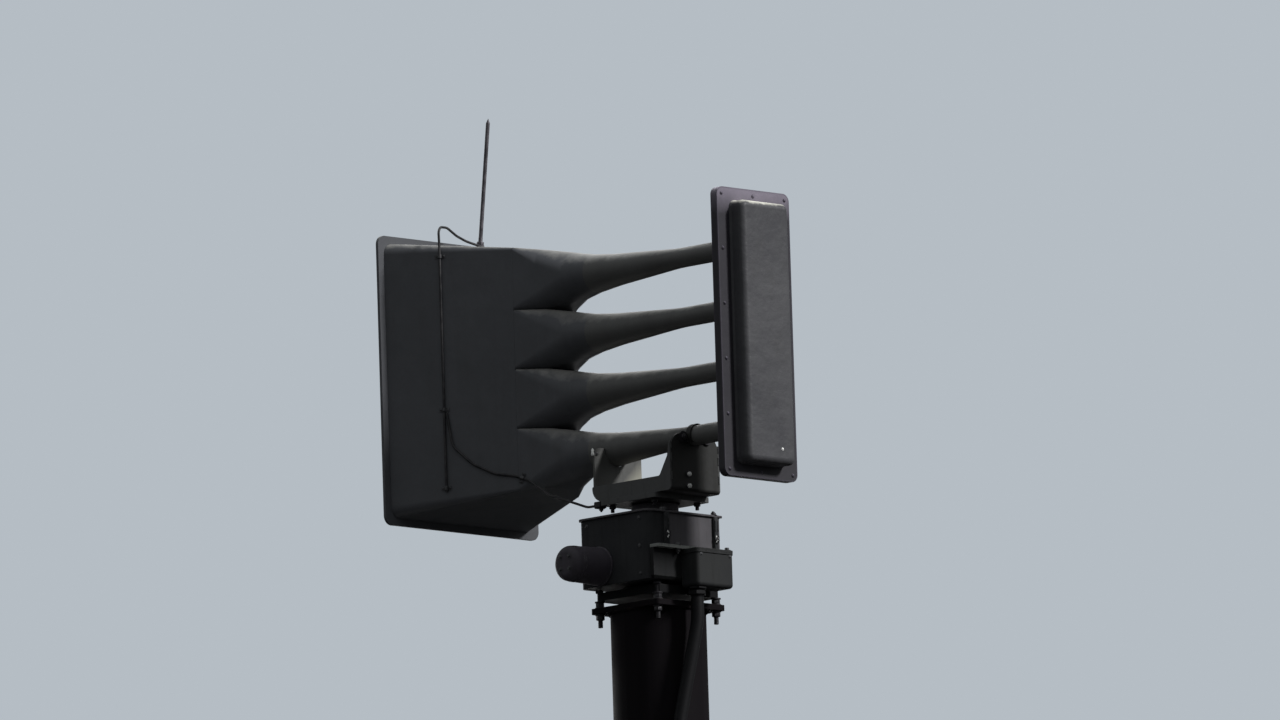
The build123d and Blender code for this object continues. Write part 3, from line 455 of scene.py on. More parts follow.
nodeFinishes = {
    "pole": ["pole_base_plate", "base_gussets", "pole_shaft", "pole_cap_plate"],
    "zinc": ["mounting_studs", "lid_bolts", "case_clamps", "turntable_bolts", "cradle_bolts"],
    "screw": ["rod_base", "cable_clips"],
    "baseCast": ["rotator_base_flange"],
    "gearCase": ["gear_case"],
    "lowerCase": ["drive_cover"],
    "flange": ["case_flange"],
    "upperCase": ["upper_case", "case_lid", "bearing_boss", "turntable_hub"],
    "box": ["terminal_box", "terminal_box_lid"],
    "motor": ["motor_cover"],
    "conduit": ["conduit", "conduit_gland", "conduit_straps"],
    "galvanized": ["turntable_plate", "cradle_base_plate", "cradle_side_left", "cradle_side_right"],
    "shadedRearPlate": ["rear_cross_plate", "throat_strap"],
    "frontPlate": ["front_saddle"],
    "gelcoat": ["horn_bell", "bell_rim"] + [f"horn_cell_{n}" for n in range(1, throatCount + 1)],
    "throat": [f"throat_{n}" for n in range(1, throatCount + 1)],
    "plate": ["driver_plate"],
    "cover": ["driver_cover"],
    "rod": ["lightning_rod"],
    "cable": ["ground_cable", "branch_cable", "cable_lug"],
}
for look, names in nodeFinishes.items():
    for name in names:
        nodes[name].data.materials.clear()
        nodes[name].data.materials.append(finishes[look])
print("nodes painted, left over:", sorted(set(nodes) - set(sum(nodeFinishes.values(), []))))


def addObject(name, data):
    thing = bpy.data.objects.new(name, data)
    scene.collection.objects.link(thing)
    return thing


def makePiece(name, shape, finish, body, sharp=38.0):
    bmesh.ops.recalc_face_normals(shape, faces=shape.faces)
    mesh = bpy.data.meshes.new(name)
    shape.to_mesh(mesh)
    shape.free()
    mesh.materials.append(finishes[finish])
    for face in mesh.polygons:
        face.use_smooth = True
    mesh.set_sharp_from_angle(angle=radians(sharp))
    piece = addObject(name, mesh)
    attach(piece, body)
    return piece


# Faces between rings of points, which end in caps or join up
def addRings(shape, rings, capped=True, joined=False):
    rows = [[shape.verts.new(point) for point in ring] for ring in rings]
    if joined:
        rows.append(rows[0])
    for first, second in zip(rows, rows[1:]):
        for corners in zip(first, first[1:] + first[:1], second[1:] + second[:1], second):
            shape.faces.new(corners)
    if capped:
        shape.faces.new(rows[0][::-1])
        shape.faces.new(rows[-1])


def squareCorners(at):
    return [(x, y) for x in (-at, at) for y in (-at, at)]


# A frame at a point, with its z along an axis
def placeAt(point, axis=upAxis, turn=0.0):
    turned = Vector(axis).to_track_quat("Z", "Y").to_matrix().to_4x4()
    return Matrix.Translation(Vector(point)) @ turned @ Matrix.Rotation(turn, 4, "Z")


# Points round a section, a screw, a weld and so on
roundness = {
    "section": 8, "screw": 20, "tip": 24, "washer": 28, "gland": 40, "coupling": 48, "weld": 96,
}


def circleSection(radius, count=roundness["section"]):
    angles = [tau * index / count for index in range(count)]
    return [(radius * cos(angle), radius * sin(angle)) for angle in angles]


def roundRing(place, level, radius, segments):
    return [place @ Vector((x, y, level)) for x, y in circleSection(radius, segments)]


# A turned part, from its levels and the radius at each
def addTurned(shape, place, profile, segments):
    addRings(shape, [roundRing(place, level, radius, segments) for level, radius in profile])


# Shares of the half width: at a chamfered foot or head, and where nothing is cut
hexShape = {"segments": 24, "foot": 0.95, "head": 0.94, "whole": 2.0, "chamfers": (0.12, 0.86)}


# A hexagon with its corners chamfered at the ends that show
def addHex(shape, place, flats, height, bothEnds=False):
    whole = hexShape["whole"]
    low, high = hexShape["chamfers"]
    rings = []
    for share, cut in (
        (0.0, hexShape["foot"] if bothEnds else whole), (low, whole), (high, whole), (1.0, hexShape["head"]),
    ):
        ring = []
        for index in range(hexShape["segments"]):
            angle = tau * index / hexShape["segments"]
            reach = flats / 2 / cos(angle % (pi / 3) - pi / 6)
            radius = min(reach, flats / 2 * cut)
            ring.append(place @ Vector((radius * cos(angle), radius * sin(angle), share * height)))
        rings.append(ring)
    addRings(shape, rings)


# Shares of the radius at both ends, and of the pitch and the radius in one turn
threadShape = {"start": 0.82, "end": 0.84, "turn": ((0.2, 0.9), (0.6, 1.0))}


def addThread(shape, place, low, high, radius, pitch, segments=roundness["screw"]):
    count = max(2, round((high - low) / pitch))
    step = (high - low) / count
    profile = [(low, radius * threadShape["start"])]
    for index in range(count):
        profile += [(low + step * (index + rise), radius * share) for rise, share in threadShape["turn"]]
    profile.append((high, radius * threadShape["end"]))
    addTurned(shape, place, profile, segments)


# Shares of the screw's radius
screwShape = {"washer": 1.5, "washerTop": 0.25, "neck": 0.3, "dome": 0.65, "steps": 5}


# A screw with a washer and a domed head
def addScrew(shape, place, radius):
    washer = radius * screwShape["washer"]
    neck = screwShape["neck"]
    profile = [(0.0, washer), (radius * screwShape["washerTop"], washer), (radius * neck, radius)]
    for step in range(1, screwShape["steps"]):
        angle = pi / 2 * step / screwShape["steps"]
        level = radius * (neck + screwShape["dome"] * sin(angle))
        profile.append((level, radius * cos(angle)))
    addTurned(shape, place, profile, roundness["screw"])


# Shares of the width across flats, and of the head's height where the thread starts
boltShape = {"washer": ((0, 0.98), (1, 1.0), (1.01, 0.96)), "thread": 0.3, "pitch": 0.0018, "start": 0.9}


# A bolt, from its width across flats, its head's height, its washer and how far its thread stands out
def addBolt(shape, place, flats, head, washer=0.0, tail=0.0):
    if washer:
        profile = [(washer * rise, flats * share) for rise, share in boltShape["washer"]]
        addTurned(shape, place, profile, roundness["washer"])
    lifted = place @ Matrix.Translation((0, 0, washer))
    addHex(shape, lifted, flats, head)
    if tail:
        start = head * boltShape["start"]
        addThread(shape, lifted, start, head + tail, flats * boltShape["thread"], boltShape["pitch"])


# A bar along a path, for straps, beads and ribs
def addSwept(shape, points, section, closed=False, ripple=0.0, spacing=1.0):
    rings = []
    count = len(points)
    travelled = 0.0
    for index, point in enumerate(points):
        before = points[(index - 1) % count] if closed or index else point
        after = points[(index + 1) % count] if closed or index < count - 1 else point
        along = (after - before).normalized()
        side = along.cross(Vector(upAxis))
        if side.length < 0.05:  # the path runs upright
            side = along.cross(Vector(rearAxis))
        side.normalize()
        upward = side.cross(along)
        swell = 1 + ripple * sin(travelled * tau / spacing)
        rings.append([point + (side * x + upward * y) * swell for x, y in section])
        travelled += (after - point).length
    addRings(shape, rings, not closed, closed)


def barSection(width, height):
    x, y = width / 2, height / 2
    return [(-x, -y), (x, -y), (x, y), (-x, y)]


# Shares of the bead's radius, and how far the ripples of its passes swell
beadShape = {"step": 0.35, "spacing": 1.3, "ripple": 0.13}


def addBead(shape, points, radius, closed=False):
    step = radius * beadShape["step"]
    dense = []
    ends = zip(points, points[1:] + points[:1]) if closed else zip(points, points[1:])
    for start, end in ends:
        count = max(1, round((end - start).length / step))
        dense += [start.lerp(end, index / count) for index in range(count)]
    if not closed:
        dense.append(points[-1])
    spacing = radius * beadShape["spacing"]
    addSwept(shape, dense, circleSection(radius), closed, beadShape["ripple"], spacing)


def addRoundBead(shape, level, ringRadius, radius):
    ring = roundRing(Matrix.Translation((0, 0, level)), 0, ringRadius, roundness["weld"])
    addBead(shape, ring, radius, True)


# Welds of the pole: under its cap, round its foot, along the gussets, and half-way up between two pipes
poleWelds = {
    "bead": 0.0055, "sink": 0.3, "joint": 0.5, "jointBead": 0.0035, "jointSink": 0.001,
    "gussetHalf": 0.006, "gussetBead": 0.75, "cornerRise": 0.008, "cornerReach": 0.004,
}


def makePoleWelds(look):
    shape = bmesh.new()
    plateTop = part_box("pole_base_plate")[1].z
    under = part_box("pole_cap_plate")[0].z
    sink = look["bead"] * look["sink"]
    addRoundBead(shape, under - sink, poleRadius + sink, look["bead"])
    addRoundBead(shape, plateTop + sink, poleRadius + sink, look["bead"])
    addRoundBead(shape, capTop * look["joint"], poleRadius - look["jointSink"], look["jointBead"])
    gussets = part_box("base_gussets")[1]
    for turn in range(4):
        spin = Matrix.Rotation(turn * pi / 2, 4, "Z")
        for y in (-look["gussetHalf"], look["gussetHalf"]):
            upright = ((poleRadius, y, plateTop + look["cornerRise"]), (poleRadius, y, gussets.z))
            flat = ((poleRadius + look["cornerReach"], y, plateTop), (gussets.x, y, plateTop))
            for ends in (upright, flat):
                addBead(shape, [spin @ Vector(end) for end in ends], look["bead"] * look["gussetBead"])
    makePiece("poleWelds", shape, "pole", tower)


makePoleWelds(poleWelds)


# Threaded studs with chamfered nuts and washers, between the cap plate and the rotator
studSet = {
    "at": 0.130, "radius": 0.00795, "pitch": 0.0022, "proud": 0.002, "flats": 0.024, "nut": 0.015,
    "jam": 0.0095, "washer": ((0, 0.0159), (0.0005, 0.0165), (0.0035, 0.0165), (0.004, 0.0159)), "seed": 11,
}


def makeStuds(look):
    shape = bmesh.new()
    low, high = (corner.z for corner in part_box("mounting_studs"))
    capUnder, capOver = (corner.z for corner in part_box("pole_cap_plate"))
    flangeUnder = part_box("rotator_base_flange")[0].z
    thick = look["washer"][-1][0]
    nutLevels = (
        (capUnder - thick - look["nut"], look["nut"]),
        (capOver + thick, look["nut"]),
        (high - look["jam"], look["jam"]),
    )
    spins = random.Random(look["seed"])
    for x, y in squareCorners(look["at"]):
        foot = placeAt((x, y, 0))
        addThread(shape, foot, low, high + look["proud"], look["radius"], look["pitch"])
        for level in (capUnder - thick, capOver, flangeUnder - thick):
            profile = [(level + rise, radius) for rise, radius in look["washer"]]
            addTurned(shape, foot, profile, roundness["washer"])
        for level, height in nutLevels:
            turn = spins.uniform(0, pi / 3)
            addHex(shape, placeAt((x, y, level), turn=turn), look["flats"], height, True)
    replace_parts(makePiece("threadedStuds", shape, "darkZinc", tower), "mounting_studs")


makeStuds(studSet)


# Clamps that hold the lid: a dark ribbed bar with a catch, whose screws are painted near white as glints,
# and a bolt through the lid's edge
clampSet = {
    "xs": (0.105, -0.114), "width": 0.020, "depth": 0.010, "edge": 0.003, "endRise": 0.004,
    "endInset": 0.002, "ribAt": 0.0055, "ribEnds": (0.062, 0.012), "ribRadius": 0.0018,
    "catchRise": 0.037, "catch": ((0, 0.0095), (0.0025, 0.0095), (0.0035, 0.008)),
    "screwAt": 0.00675, "screwLift": 0.002, "screw": 0.0042,
    "hook": ((0.004, -0.012), (0.010, -0.004), (0.010, 0.006), (0.003, 0.014)), "hookRadius": 0.0022,
    "bolt": (0.0135, 0.008, 0.0016, 0.004), "boltSink": 0.004,
}


def makeClamps(look):
    bars = bmesh.new()
    catches = bmesh.new()
    screws = bmesh.new()
    low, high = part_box("case_clamps")
    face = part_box("upper_case")[1].y
    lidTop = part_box("case_lid")[1].z
    half, edge = look["width"] / 2, look["edge"]
    rise, inset = look["endRise"], look["endInset"]
    outer = face + look["depth"]
    for x in look["xs"]:
        outline = [
            (x - half, face), (x + half, face), (x + half, outer - edge),
            (x + half - edge, outer), (x - half + edge, outer), (x - half, outer - edge),
        ]
        rings = []
        for z, drawn in ((low.z, inset), (low.z + rise, 0), (high.z - rise, 0), (high.z, inset)):
            rings.append([
                Vector((x + (px - x) * (1 - drawn / half), py - (drawn if py > face else 0), z))
                for px, py in outline
            ])
        addRings(bars, rings)
        middle = low.z + look["catchRise"]
        addTurned(catches, placeAt((x, outer, middle), rearAxis), look["catch"], roundness["tip"])
        for side in (-1, 1):
            ribX = x + side * look["ribAt"]
            ends = (low.z + look["ribEnds"][0], high.z - look["ribEnds"][1])
            addSwept(bars, [Vector((ribX, outer, z)) for z in ends], circleSection(look["ribRadius"]))
            seat = (x, outer + look["screwLift"], middle + side * look["screwAt"])
            addScrew(screws, placeAt(seat, rearAxis), look["screw"])
        hook = [Vector((x, outer + reach, middle + up)) for reach, up in look["hook"]]
        addSwept(catches, hook, circleSection(look["hookRadius"]))
        addBolt(catches, placeAt((x, face - look["boltSink"], lidTop)), *look["bolt"])
    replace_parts(makePiece("clampBars", bars, "lowerCase", tower), "case_clamps")
    makePiece("clampCatches", catches, "darkZinc", tower)
    makePiece("catchScrews", screws, "bright", tower)


makeClamps(clampSet)


lidBoltSet = {
    "xs": (-0.128, 0.105), "ys": (-0.150, 0.135), "turn": 0.4, "bolt": (0.013, 0.009, 0.0016, 0.0035),
}


def makeLidBolts(look):
    shape = bmesh.new()
    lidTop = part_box("case_lid")[1].z
    for number, (x, y) in enumerate((x, y) for x in look["xs"] for y in look["ys"]):
        addBolt(shape, placeAt((x, y, lidTop), turn=number * look["turn"]), *look["bolt"])
    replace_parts(makePiece("lidBoltHeads", shape, "screw", tower), "lid_bolts")


makeLidBolts(lidBoltSet)


# Bolts of the flange, screws up both edges of the drive's cover, and screws of the terminal box
caseScrewSet = {
    "flangeBolts": ((0.082, 0.179), (-0.138, 0.179)), "over": (0.013, 0.008, 0.0015),
    "under": (0.013, 0.009, 0.0015, 0.005), "coverInset": 0.040, "coverShares": (0.09, 0.5, 0.91),
    "coverScrew": 0.0045, "boxInset": 0.017, "boxDrop": 0.012, "boxScrew": 0.003825,
}


def makeCaseScrews(look):
    shape = bmesh.new()
    low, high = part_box("case_flange")
    for x, y in look["flangeBolts"]:
        addBolt(shape, placeAt((x, y, high.z)), *look["over"])
        addBolt(shape, placeAt((x, y, low.z), downAxis), *look["under"])
    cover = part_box("drive_cover")
    for y in (cover[0].y + look["coverInset"], cover[1].y - look["coverInset"]):
        for share in look["coverShares"]:
            level = cover[0].z + (cover[1].z - cover[0].z) * share
            addScrew(shape, placeAt((cover[1].x, y, level), motorAxis), look["coverScrew"])
    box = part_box("terminal_box")
    for x in (box[0].x + look["boxInset"], box[1].x - look["boxInset"]):
        addScrew(shape, placeAt((x, box[1].y, box[1].z - look["boxDrop"]), rearAxis), look["boxScrew"])
    makePiece("caseScrews", shape, "screw", tower)


makeCaseScrews(caseScrewSet)


# Lip under the terminal box's lid, round its three free sides
boxTrim = {"lip": (0.0035, 0.006), "corner": 0.016, "inset": 0.002, "steps": 6}


def makeBoxTrim(look):
    shape = bmesh.new()
    low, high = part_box("terminal_box_lid")
    level = low.z - look["lip"][1] / 2
    corner, inset = look["corner"], look["inset"]
    points = [Vector((high.x - inset, low.y + inset, level))]
    for centreX, start in ((high.x - corner, 0.0), (low.x + corner, 0.5)):
        for step in range(look["steps"] + 1):
            angle = pi * (start + 0.5 * step / look["steps"])
            x = centreX + (corner - inset) * cos(angle)
            points.append(Vector((x, high.y - corner + (corner - inset) * sin(angle), level)))
    points.append(Vector((low.x + inset, low.y + inset, level)))
    addSwept(shape, points, barSection(*look["lip"]))
    makePiece("boxLip", shape, "box", tower)


makeBoxTrim(boxTrim)


# Motor cover: a ring at the case, two seam bands and four screws at the end
motorTrim = {
    "ring": ((0.0, 0.0622), (0.001, 0.0632), (0.0055, 0.0632), (0.007, 0.0617)), "sink": 0.001,
    "bands": (0.108, 0.117), "band": ((0, -0.002), (0.001, 0.0022), (0.004, 0.0022), (0.005, -0.002)),
    "bandSink": 0.0005, "taper": 0.0048, "screws": 4, "screwAt": 0.028, "screwSink": 0.0003,
    "screw": (0.008, 0.004, 0.001), "segments": 72,
}


def makeMotorTrim(look):
    shape = bmesh.new()
    screws = bmesh.new()
    low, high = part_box("motor_cover")
    centre = Vector((low.x, (low.y + high.y) / 2, (low.z + high.z) / 2))
    axis = placeAt(centre, motorAxis)
    bore = (high.z - low.z) / 2 - look["sink"]
    addTurned(shape, axis, look["ring"] + ((look["ring"][-1][0], bore),), look["segments"])
    for offset in look["bands"]:
        radius = bore - look["bandSink"] - offset / (high.x - low.x) * look["taper"]
        band = [(offset + along, radius + rise) for along, rise in look["band"]]
        addTurned(shape, axis, band, look["segments"])
    end = Vector((high.x - look["screwSink"], centre.y, centre.z))
    for index in range(look["screws"]):
        angle = pi * (0.25 + 2 * index / look["screws"])
        across = Vector((0, cos(angle), sin(angle))) * look["screwAt"]
        addBolt(screws, placeAt(end + across, motorAxis), *look["screw"])
    makePiece("motorRings", shape, "motor", tower)
    makePiece("motorScrews", screws, "screw", tower)


makeMotorTrim(motorTrim)


# Conduit: a gland with its locknut and thread, couplings at shares of the height, the straps' screws
conduitSet = {
    "radius": 0.021, "locknut": (0.054774, 0.007), "neck": (0.006, 0.012), "neckRadius": 0.02352,
    "pitch": 0.0022, "nutDrop": 0.0115, "nut": (0.0537, 0.0145), "nutTurn": 0.3,
    "sleeve": ((0.025, 0.0235), (0.029, 0.0232), (0.032, 0.0215)),
    "couplings": (0.75, 0.5, 0.25),
    "coupling": ((-0.024, 0.0222), (-0.021, 0.0262), (0.021, 0.0262), (0.024, 0.0222)),
    "angle": 27.0, "standoff": 0.008, "straps": 7, "strapRise": 0.017, "earReach": 0.0325,
    "screw": (0.0095, 0.005, 0.001),
}


def makeConduitTrim(look):
    gland = bmesh.new()
    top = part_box("conduit_gland")[1].z
    centre = middleOf("conduit_gland")
    down = placeAt((centre.x, centre.y, top), downAxis)
    addHex(gland, down, *look["locknut"], True)
    addThread(gland, down, *look["neck"], look["neckRadius"], look["pitch"], roundness["gland"])
    nut = placeAt((centre.x, centre.y, top - look["nutDrop"]), downAxis, look["nutTurn"])
    addHex(gland, nut, *look["nut"], True)
    addTurned(gland, down, look["sleeve"], roundness["gland"])
    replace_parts(makePiece("glandNuts", gland, "conduit", tower), "conduit_gland")

    sleeves = bmesh.new()
    turn = radians(look["angle"])
    outward = Vector((sin(turn), cos(turn), 0))
    tangent = Vector((cos(turn), -sin(turn), 0))
    seat = poleRadius + look["standoff"]
    for share in look["couplings"]:
        middle = outward * (seat + look["radius"]) + Vector((0, 0, capTop * share))
        addTurned(sleeves, placeAt(middle), look["coupling"], roundness["coupling"])
    makePiece("conduitCouplings", sleeves, "conduit", tower)

    screws = bmesh.new()
    strapLow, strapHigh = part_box("conduit_straps")
    pitch = (strapHigh.z - strapLow.z - 2 * look["strapRise"]) / (look["straps"] - 1)
    for index in range(look["straps"]):
        level = strapLow.z + index * pitch + look["strapRise"]
        for side in (-1, 1):
            point = outward * seat + tangent * side * look["earReach"]
            addBolt(screws, placeAt(point + Vector((0, 0, level)), outward), *look["screw"])
    makePiece("strapScrews", screws, "screw", tower)


makeConduitTrim(conduitSet)
print("tower details made")

# Turntable: bolts with nuts under the plate, the hub's weld, and the bolt of the ground lug
turntableSet = {
    "at": 0.095, "flats": 0.019, "nut": 0.011, "radius": 0.00635, "pitch": 0.002, "proud": 0.001,
    "weld": 0.004, "weldAt": 0.0755, "weldDrop": 0.001,
    "lugBolt": (0.012, 0.006, 0.0015, 0.004), "lugShift": 0.004,
}


def makeTurntableBolts(look):
    shape = bmesh.new()
    low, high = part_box("turntable_bolts")
    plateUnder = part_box("turntable_plate")[0].z
    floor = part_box("cradle_base_plate")[1].z
    for x, y in squareCorners(look["at"]):
        addThread(shape, placeAt((x, y, 0)), low.z, high.z + look["proud"], look["radius"], look["pitch"])
        for level in (plateUnder - look["nut"], floor):
            addHex(shape, placeAt((x, y, level), turn=pi / 6), look["flats"], look["nut"], True)
    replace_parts(makePiece("turntableNuts", shape, "darkZinc", sirenHead), "turntable_bolts")
    weld = bmesh.new()
    addRoundBead(weld, plateUnder - look["weldDrop"], look["weldAt"], look["weld"])
    makePiece("hubWeld", weld, "conduit", sirenHead)
    lug = bmesh.new()
    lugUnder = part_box("cable_lug")[0].z
    centre = middleOf("cable_lug")
    addBolt(lug, placeAt((centre.x, centre.y + look["lugShift"], lugUnder), downAxis), *look["lugBolt"])
    makePiece("lugBolt", lug, "darkZinc", sirenHead)


makeTurntableBolts(turntableSet)

# Cradle: welds along its corners, its bolts, and the fitting on the front plate's edge; the rear bolt heads
# and the fitting are painted near white as glints.
# Heights are over the pole's cap.
cradleSet = {
    "bead": 0.0032, "inset": 0.001, "plate": 0.008, "rearSeam": (0.365, 0.45), "frontSeam": (0.395, 0.393),
    "outerSeams": ((0.38, 0.405), (0.44, 0.465), (0.48, 0.495)), "outerBead": 0.00288, "outerProud": 0.0005,
    "crossInset": 0.012, "rearBolts": ((0.031, 0.364), (0.031, 0.402)), "rearTurn": 0.5,
    "rearBolt": (0.0125, 0.008, 0.0, 0.003), "washer": ((0, 0.0105), (0.0012, 0.0108), (0.0018, 0.0102)),
    "strapX": 0.05405, "strapZ": 0.5193, "strapPlate": 0.005, "strapTurn": 0.35,
    "strapBolt": (0.019, 0.007, 0.0018, 0.004),
    "fittingAt": (0.1125, -0.1600, 0.498),
    "fitting": (
        (0, 0.00364), (0.002, 0.0052), (0.008, 0.0052), (0.009, 0.00416),
        (0.018, 0.00416), (0.021, 0.00312), (0.024, 0.00104),
    ),
    "armReach": 0.022, "armShift": 0.002, "armRise": 0.008, "armSection": (0.003, 0.010),
    "armScrewAt": (-0.017, 0.0035), "armScrew": 0.003,
}


def makeCradleTrim(look):
    welds = bmesh.new()
    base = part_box("cradle_base_plate")
    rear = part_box("rear_cross_plate")
    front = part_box("front_saddle")
    floor = base[1].z

    def addSeam(start, end, radius=look["bead"]):
        addBead(welds, [Vector(start), Vector(end)], radius)

    def addUpright(x, y, levels, radius=look["bead"]):
        addSeam((x, y, capTop + levels[0]), (x, y, capTop + levels[1]), radius)

    for side, x in ((1, base[1].x), (-1, base[0].x)):
        inner = x - side * look["inset"]
        addSeam((inner, base[0].y, floor), (inner, base[1].y, floor))
        addUpright(inner, rear[1].y - look["plate"], look["rearSeam"])
        addUpright(inner, front[0].y + look["plate"], look["frontSeam"])
        # Short outside welds up the rear corner, where the gusset meets the plate
        for levels in look["outerSeams"]:
            addUpright(x + side * look["outerProud"], rear[1].y, levels, look["outerBead"])
    for y in (base[0].y, base[1].y):
        addSeam((base[0].x + look["crossInset"], y, floor), (base[1].x - look["crossInset"], y, floor))
    makePiece("cradleWelds", welds, "galvanized", sirenHead)

    bolts = bmesh.new()
    strapBolts = bmesh.new()
    face = rear[1].y
    for number, (x, z) in enumerate(look["rearBolts"]):
        seat = placeAt((x, face, capTop + z), rearAxis, number * look["rearTurn"])
        addTurned(strapBolts, seat, look["washer"], roundness["washer"])
        addBolt(bolts, seat @ Matrix.Translation((0, 0, look["washer"][-1][0])), *look["rearBolt"])
    for x in (-look["strapX"], look["strapX"]):
        point = (x, face + look["strapPlate"], capTop + look["strapZ"])
        addBolt(strapBolts, placeAt(point, rearAxis, look["strapTurn"]), *look["strapBolt"])
    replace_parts(makePiece("cradleBoltHeads", bolts, "bright", sirenHead), "cradle_bolts")
    makePiece("strapBoltHeads", strapBolts, "darkZinc", sirenHead)

    fitting = bmesh.new()
    x, y, rise = look["fittingAt"]
    addTurned(fitting, placeAt((x, y, capTop + rise)), look["fitting"], roundness["washer"])
    makePiece("edgeFitting", fitting, "bright", sirenHead)
    arm = bmesh.new()
    level = capTop + rise + look["armRise"]
    ends = [Vector((end, y + look["armShift"], level)) for end in (x - look["armReach"], x)]
    addSwept(arm, ends, barSection(*look["armSection"]))
    screwX, screwY = look["armScrewAt"]
    addScrew(arm, placeAt((x + screwX, y + screwY, level), rearAxis), look["armScrew"])
    makePiece("fittingArm", arm, "screw", sirenHead)


makeCradleTrim(cradleSet)

# Throats: a fairing where each enters its cell, and a moulded collar at the driver plate, as y and radius
throatSet = {
    "fairing": (
        (-0.222, 0.0608), (-0.236, 0.0634), (-0.250, 0.0661), (-0.262, 0.0686), (-0.274, 0.0707),
        (-0.290, 0.0729), (-0.308, 0.0752),
    ),
    "collar": (
        (0.4535, 0.0375), (0.4490, 0.0375), (0.4465, 0.0360), (0.4250, 0.0345), (0.4050, 0.0325),
        (0.4000, 0.0312),
    ),
    "segments": 64, "sharp": 60,
}


def makeThroatTrim(look):
    fairings = bmesh.new()
    collars = bmesh.new()
    for index in range(throatCount):
        level = hornAxis + ((throatCount - 1) / 2 - index) * throatPitch
        place = placeAt((0, 0, level), frontAxis)
        for shape, key in ((fairings, "fairing"), (collars, "collar")):
            rings = [roundRing(place, -y, radius, look["segments"]) for y, radius in look[key]]
            addRings(shape, rings, False)
    makePiece("cellFairings", fairings, "gelcoat", sirenHead, look["sharp"])
    makePiece("throatCollars", collars, "throat", sirenHead, look["sharp"])


makeThroatTrim(throatSet)


def roundedOutline(halfX, halfZ, radius, centreZ, y, steps):
    points = []
    for signX, signZ, start in ((1, 1, 0.0), (-1, 1, 0.5), (-1, -1, 1.0), (1, -1, 1.5)):
        for step in range(steps + 1):
            angle = pi * (start + 0.5 * step / steps)
            points.append(Vector((
                signX * (halfX - radius) + radius * cos(angle), y,
                centreZ + signZ * (halfZ - radius) + radius * sin(angle),
            )))
    return points


# Driver plate: screws round its edge with their nuts in front, and the cover's turned-out foot and plug
plateTrim = {
    "inset": 0.021, "screw": 0.0042, "nut": (0.011, 0.005, 0.0014, 0.004), "rows": 6,
    "corner": 0.022, "cornerSteps": 8, "sharp": 70,
    "foot": ((0.0, 0.003), (0.002, 0.003), (0.0035, 0.0018), (0.008, 0.0006), (0.012, -0.001)),
    "plugAt": (-0.043, 0.048), "plugSink": 0.0008, "plug": 0.0032,
}


def makePlateTrim(look):
    screws = bmesh.new()
    low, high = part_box("driver_plate")
    inset = look["inset"]
    places = []
    for index in range(look["rows"]):
        z = low.z + inset + (high.z - low.z - 2 * inset) * index / (look["rows"] - 1)
        places += [(low.x + inset, z), (high.x - inset, z)]
    places += [(0.0, low.z + inset), (0.0, high.z - inset)]
    for x, z in places:
        addScrew(screws, placeAt((x, high.y, z), rearAxis), look["screw"])
        addBolt(screws, placeAt((x, low.y, z), frontAxis), *look["nut"])
    makePiece("plateScrews", screws, "plate", sirenHead)

    foot = bmesh.new()
    coverLow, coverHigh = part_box("driver_cover")
    half = (coverHigh - coverLow) / 2
    centre = middleOf("driver_cover").z
    rings = []
    for rise, grow in look["foot"]:
        corner = look["corner"] + grow
        y = high.y + rise
        rings.append(roundedOutline(half.x + grow, half.z + grow, corner, centre, y, look["cornerSteps"]))
    addRings(foot, rings, False)
    makePiece("coverFoot", foot, "cover", sirenHead, look["sharp"])
    # The plug is painted near white, as a glint
    plug = bmesh.new()
    x, rise = look["plugAt"]
    addScrew(plug, placeAt((x, coverHigh.y - look["plugSink"], coverLow.z + rise), rearAxis), look["plug"])
    makePiece("coverPlug", plug, "bright", sirenHead)


makePlateTrim(plateTrim)

# Lightning rod: a pointed tip, a nut on the socket and the foot's screws
rodSet = {
    "lean": 7.6, "radius": 0.00635, "tipSink": 0.001,
    "tip": ((0, 0.00635), (0.001, 0.00635), (0.0112, 0.0022225), (0.016, 0.000381)),
    "tilt": (0, 0.1244, 0.9922), "socketRise": 0.0162, "socket": (0.021, 0.011),
    "neck": (0.010, 0.026), "neckRadius": 0.007112, "pitch": 0.0022,
    "screws": 3, "screwTurn": 0.4, "screwAt": 0.0195, "screwRise": 0.0045, "screw": 0.0028,
}


def makeRodTrim(look):
    shape = bmesh.new()
    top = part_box("lightning_rod")[1].z
    lean = Vector((0, sin(radians(look["lean"])), cos(radians(look["lean"]))))
    foot = middleOf("rod_base")
    seat = Vector((0, foot.y, foot.z))
    length = (top - seat.z - look["radius"] * lean.y) / lean.z
    tip = placeAt(seat + lean * (length - look["tipSink"]), lean)
    addTurned(shape, tip, look["tip"], roundness["tip"])
    tilt = Vector(look["tilt"])
    socket = placeAt(seat + tilt * look["socketRise"], lean)
    addHex(shape, socket, *look["socket"], True)
    addThread(shape, socket, *look["neck"], look["neckRadius"], look["pitch"], roundness["washer"])
    screwPlane = placeAt(seat + tilt * look["screwRise"], tilt)
    for index in range(look["screws"]):
        angle = tau * index / look["screws"] + look["screwTurn"]
        spot = screwPlane @ (Vector((cos(angle), sin(angle), 0)) * look["screwAt"])
        addScrew(shape, placeAt(spot, tilt), look["screw"])
    makePiece("rodFittings", shape, "rod", sirenHead)


makeRodTrim(rodSet)

# Screws in the feet of the cable clips: three down the bell's side, one on the branch.
# Heights are over the horn's axis.
clipSet = {
    "y": -0.698, "rises": (0.384, -0.112, -0.365), "last": (-0.462, -0.353), "lastAngle": 22.0,
    "foot": 0.0125, "lift": 0.0024, "screw": 0.0026,
}


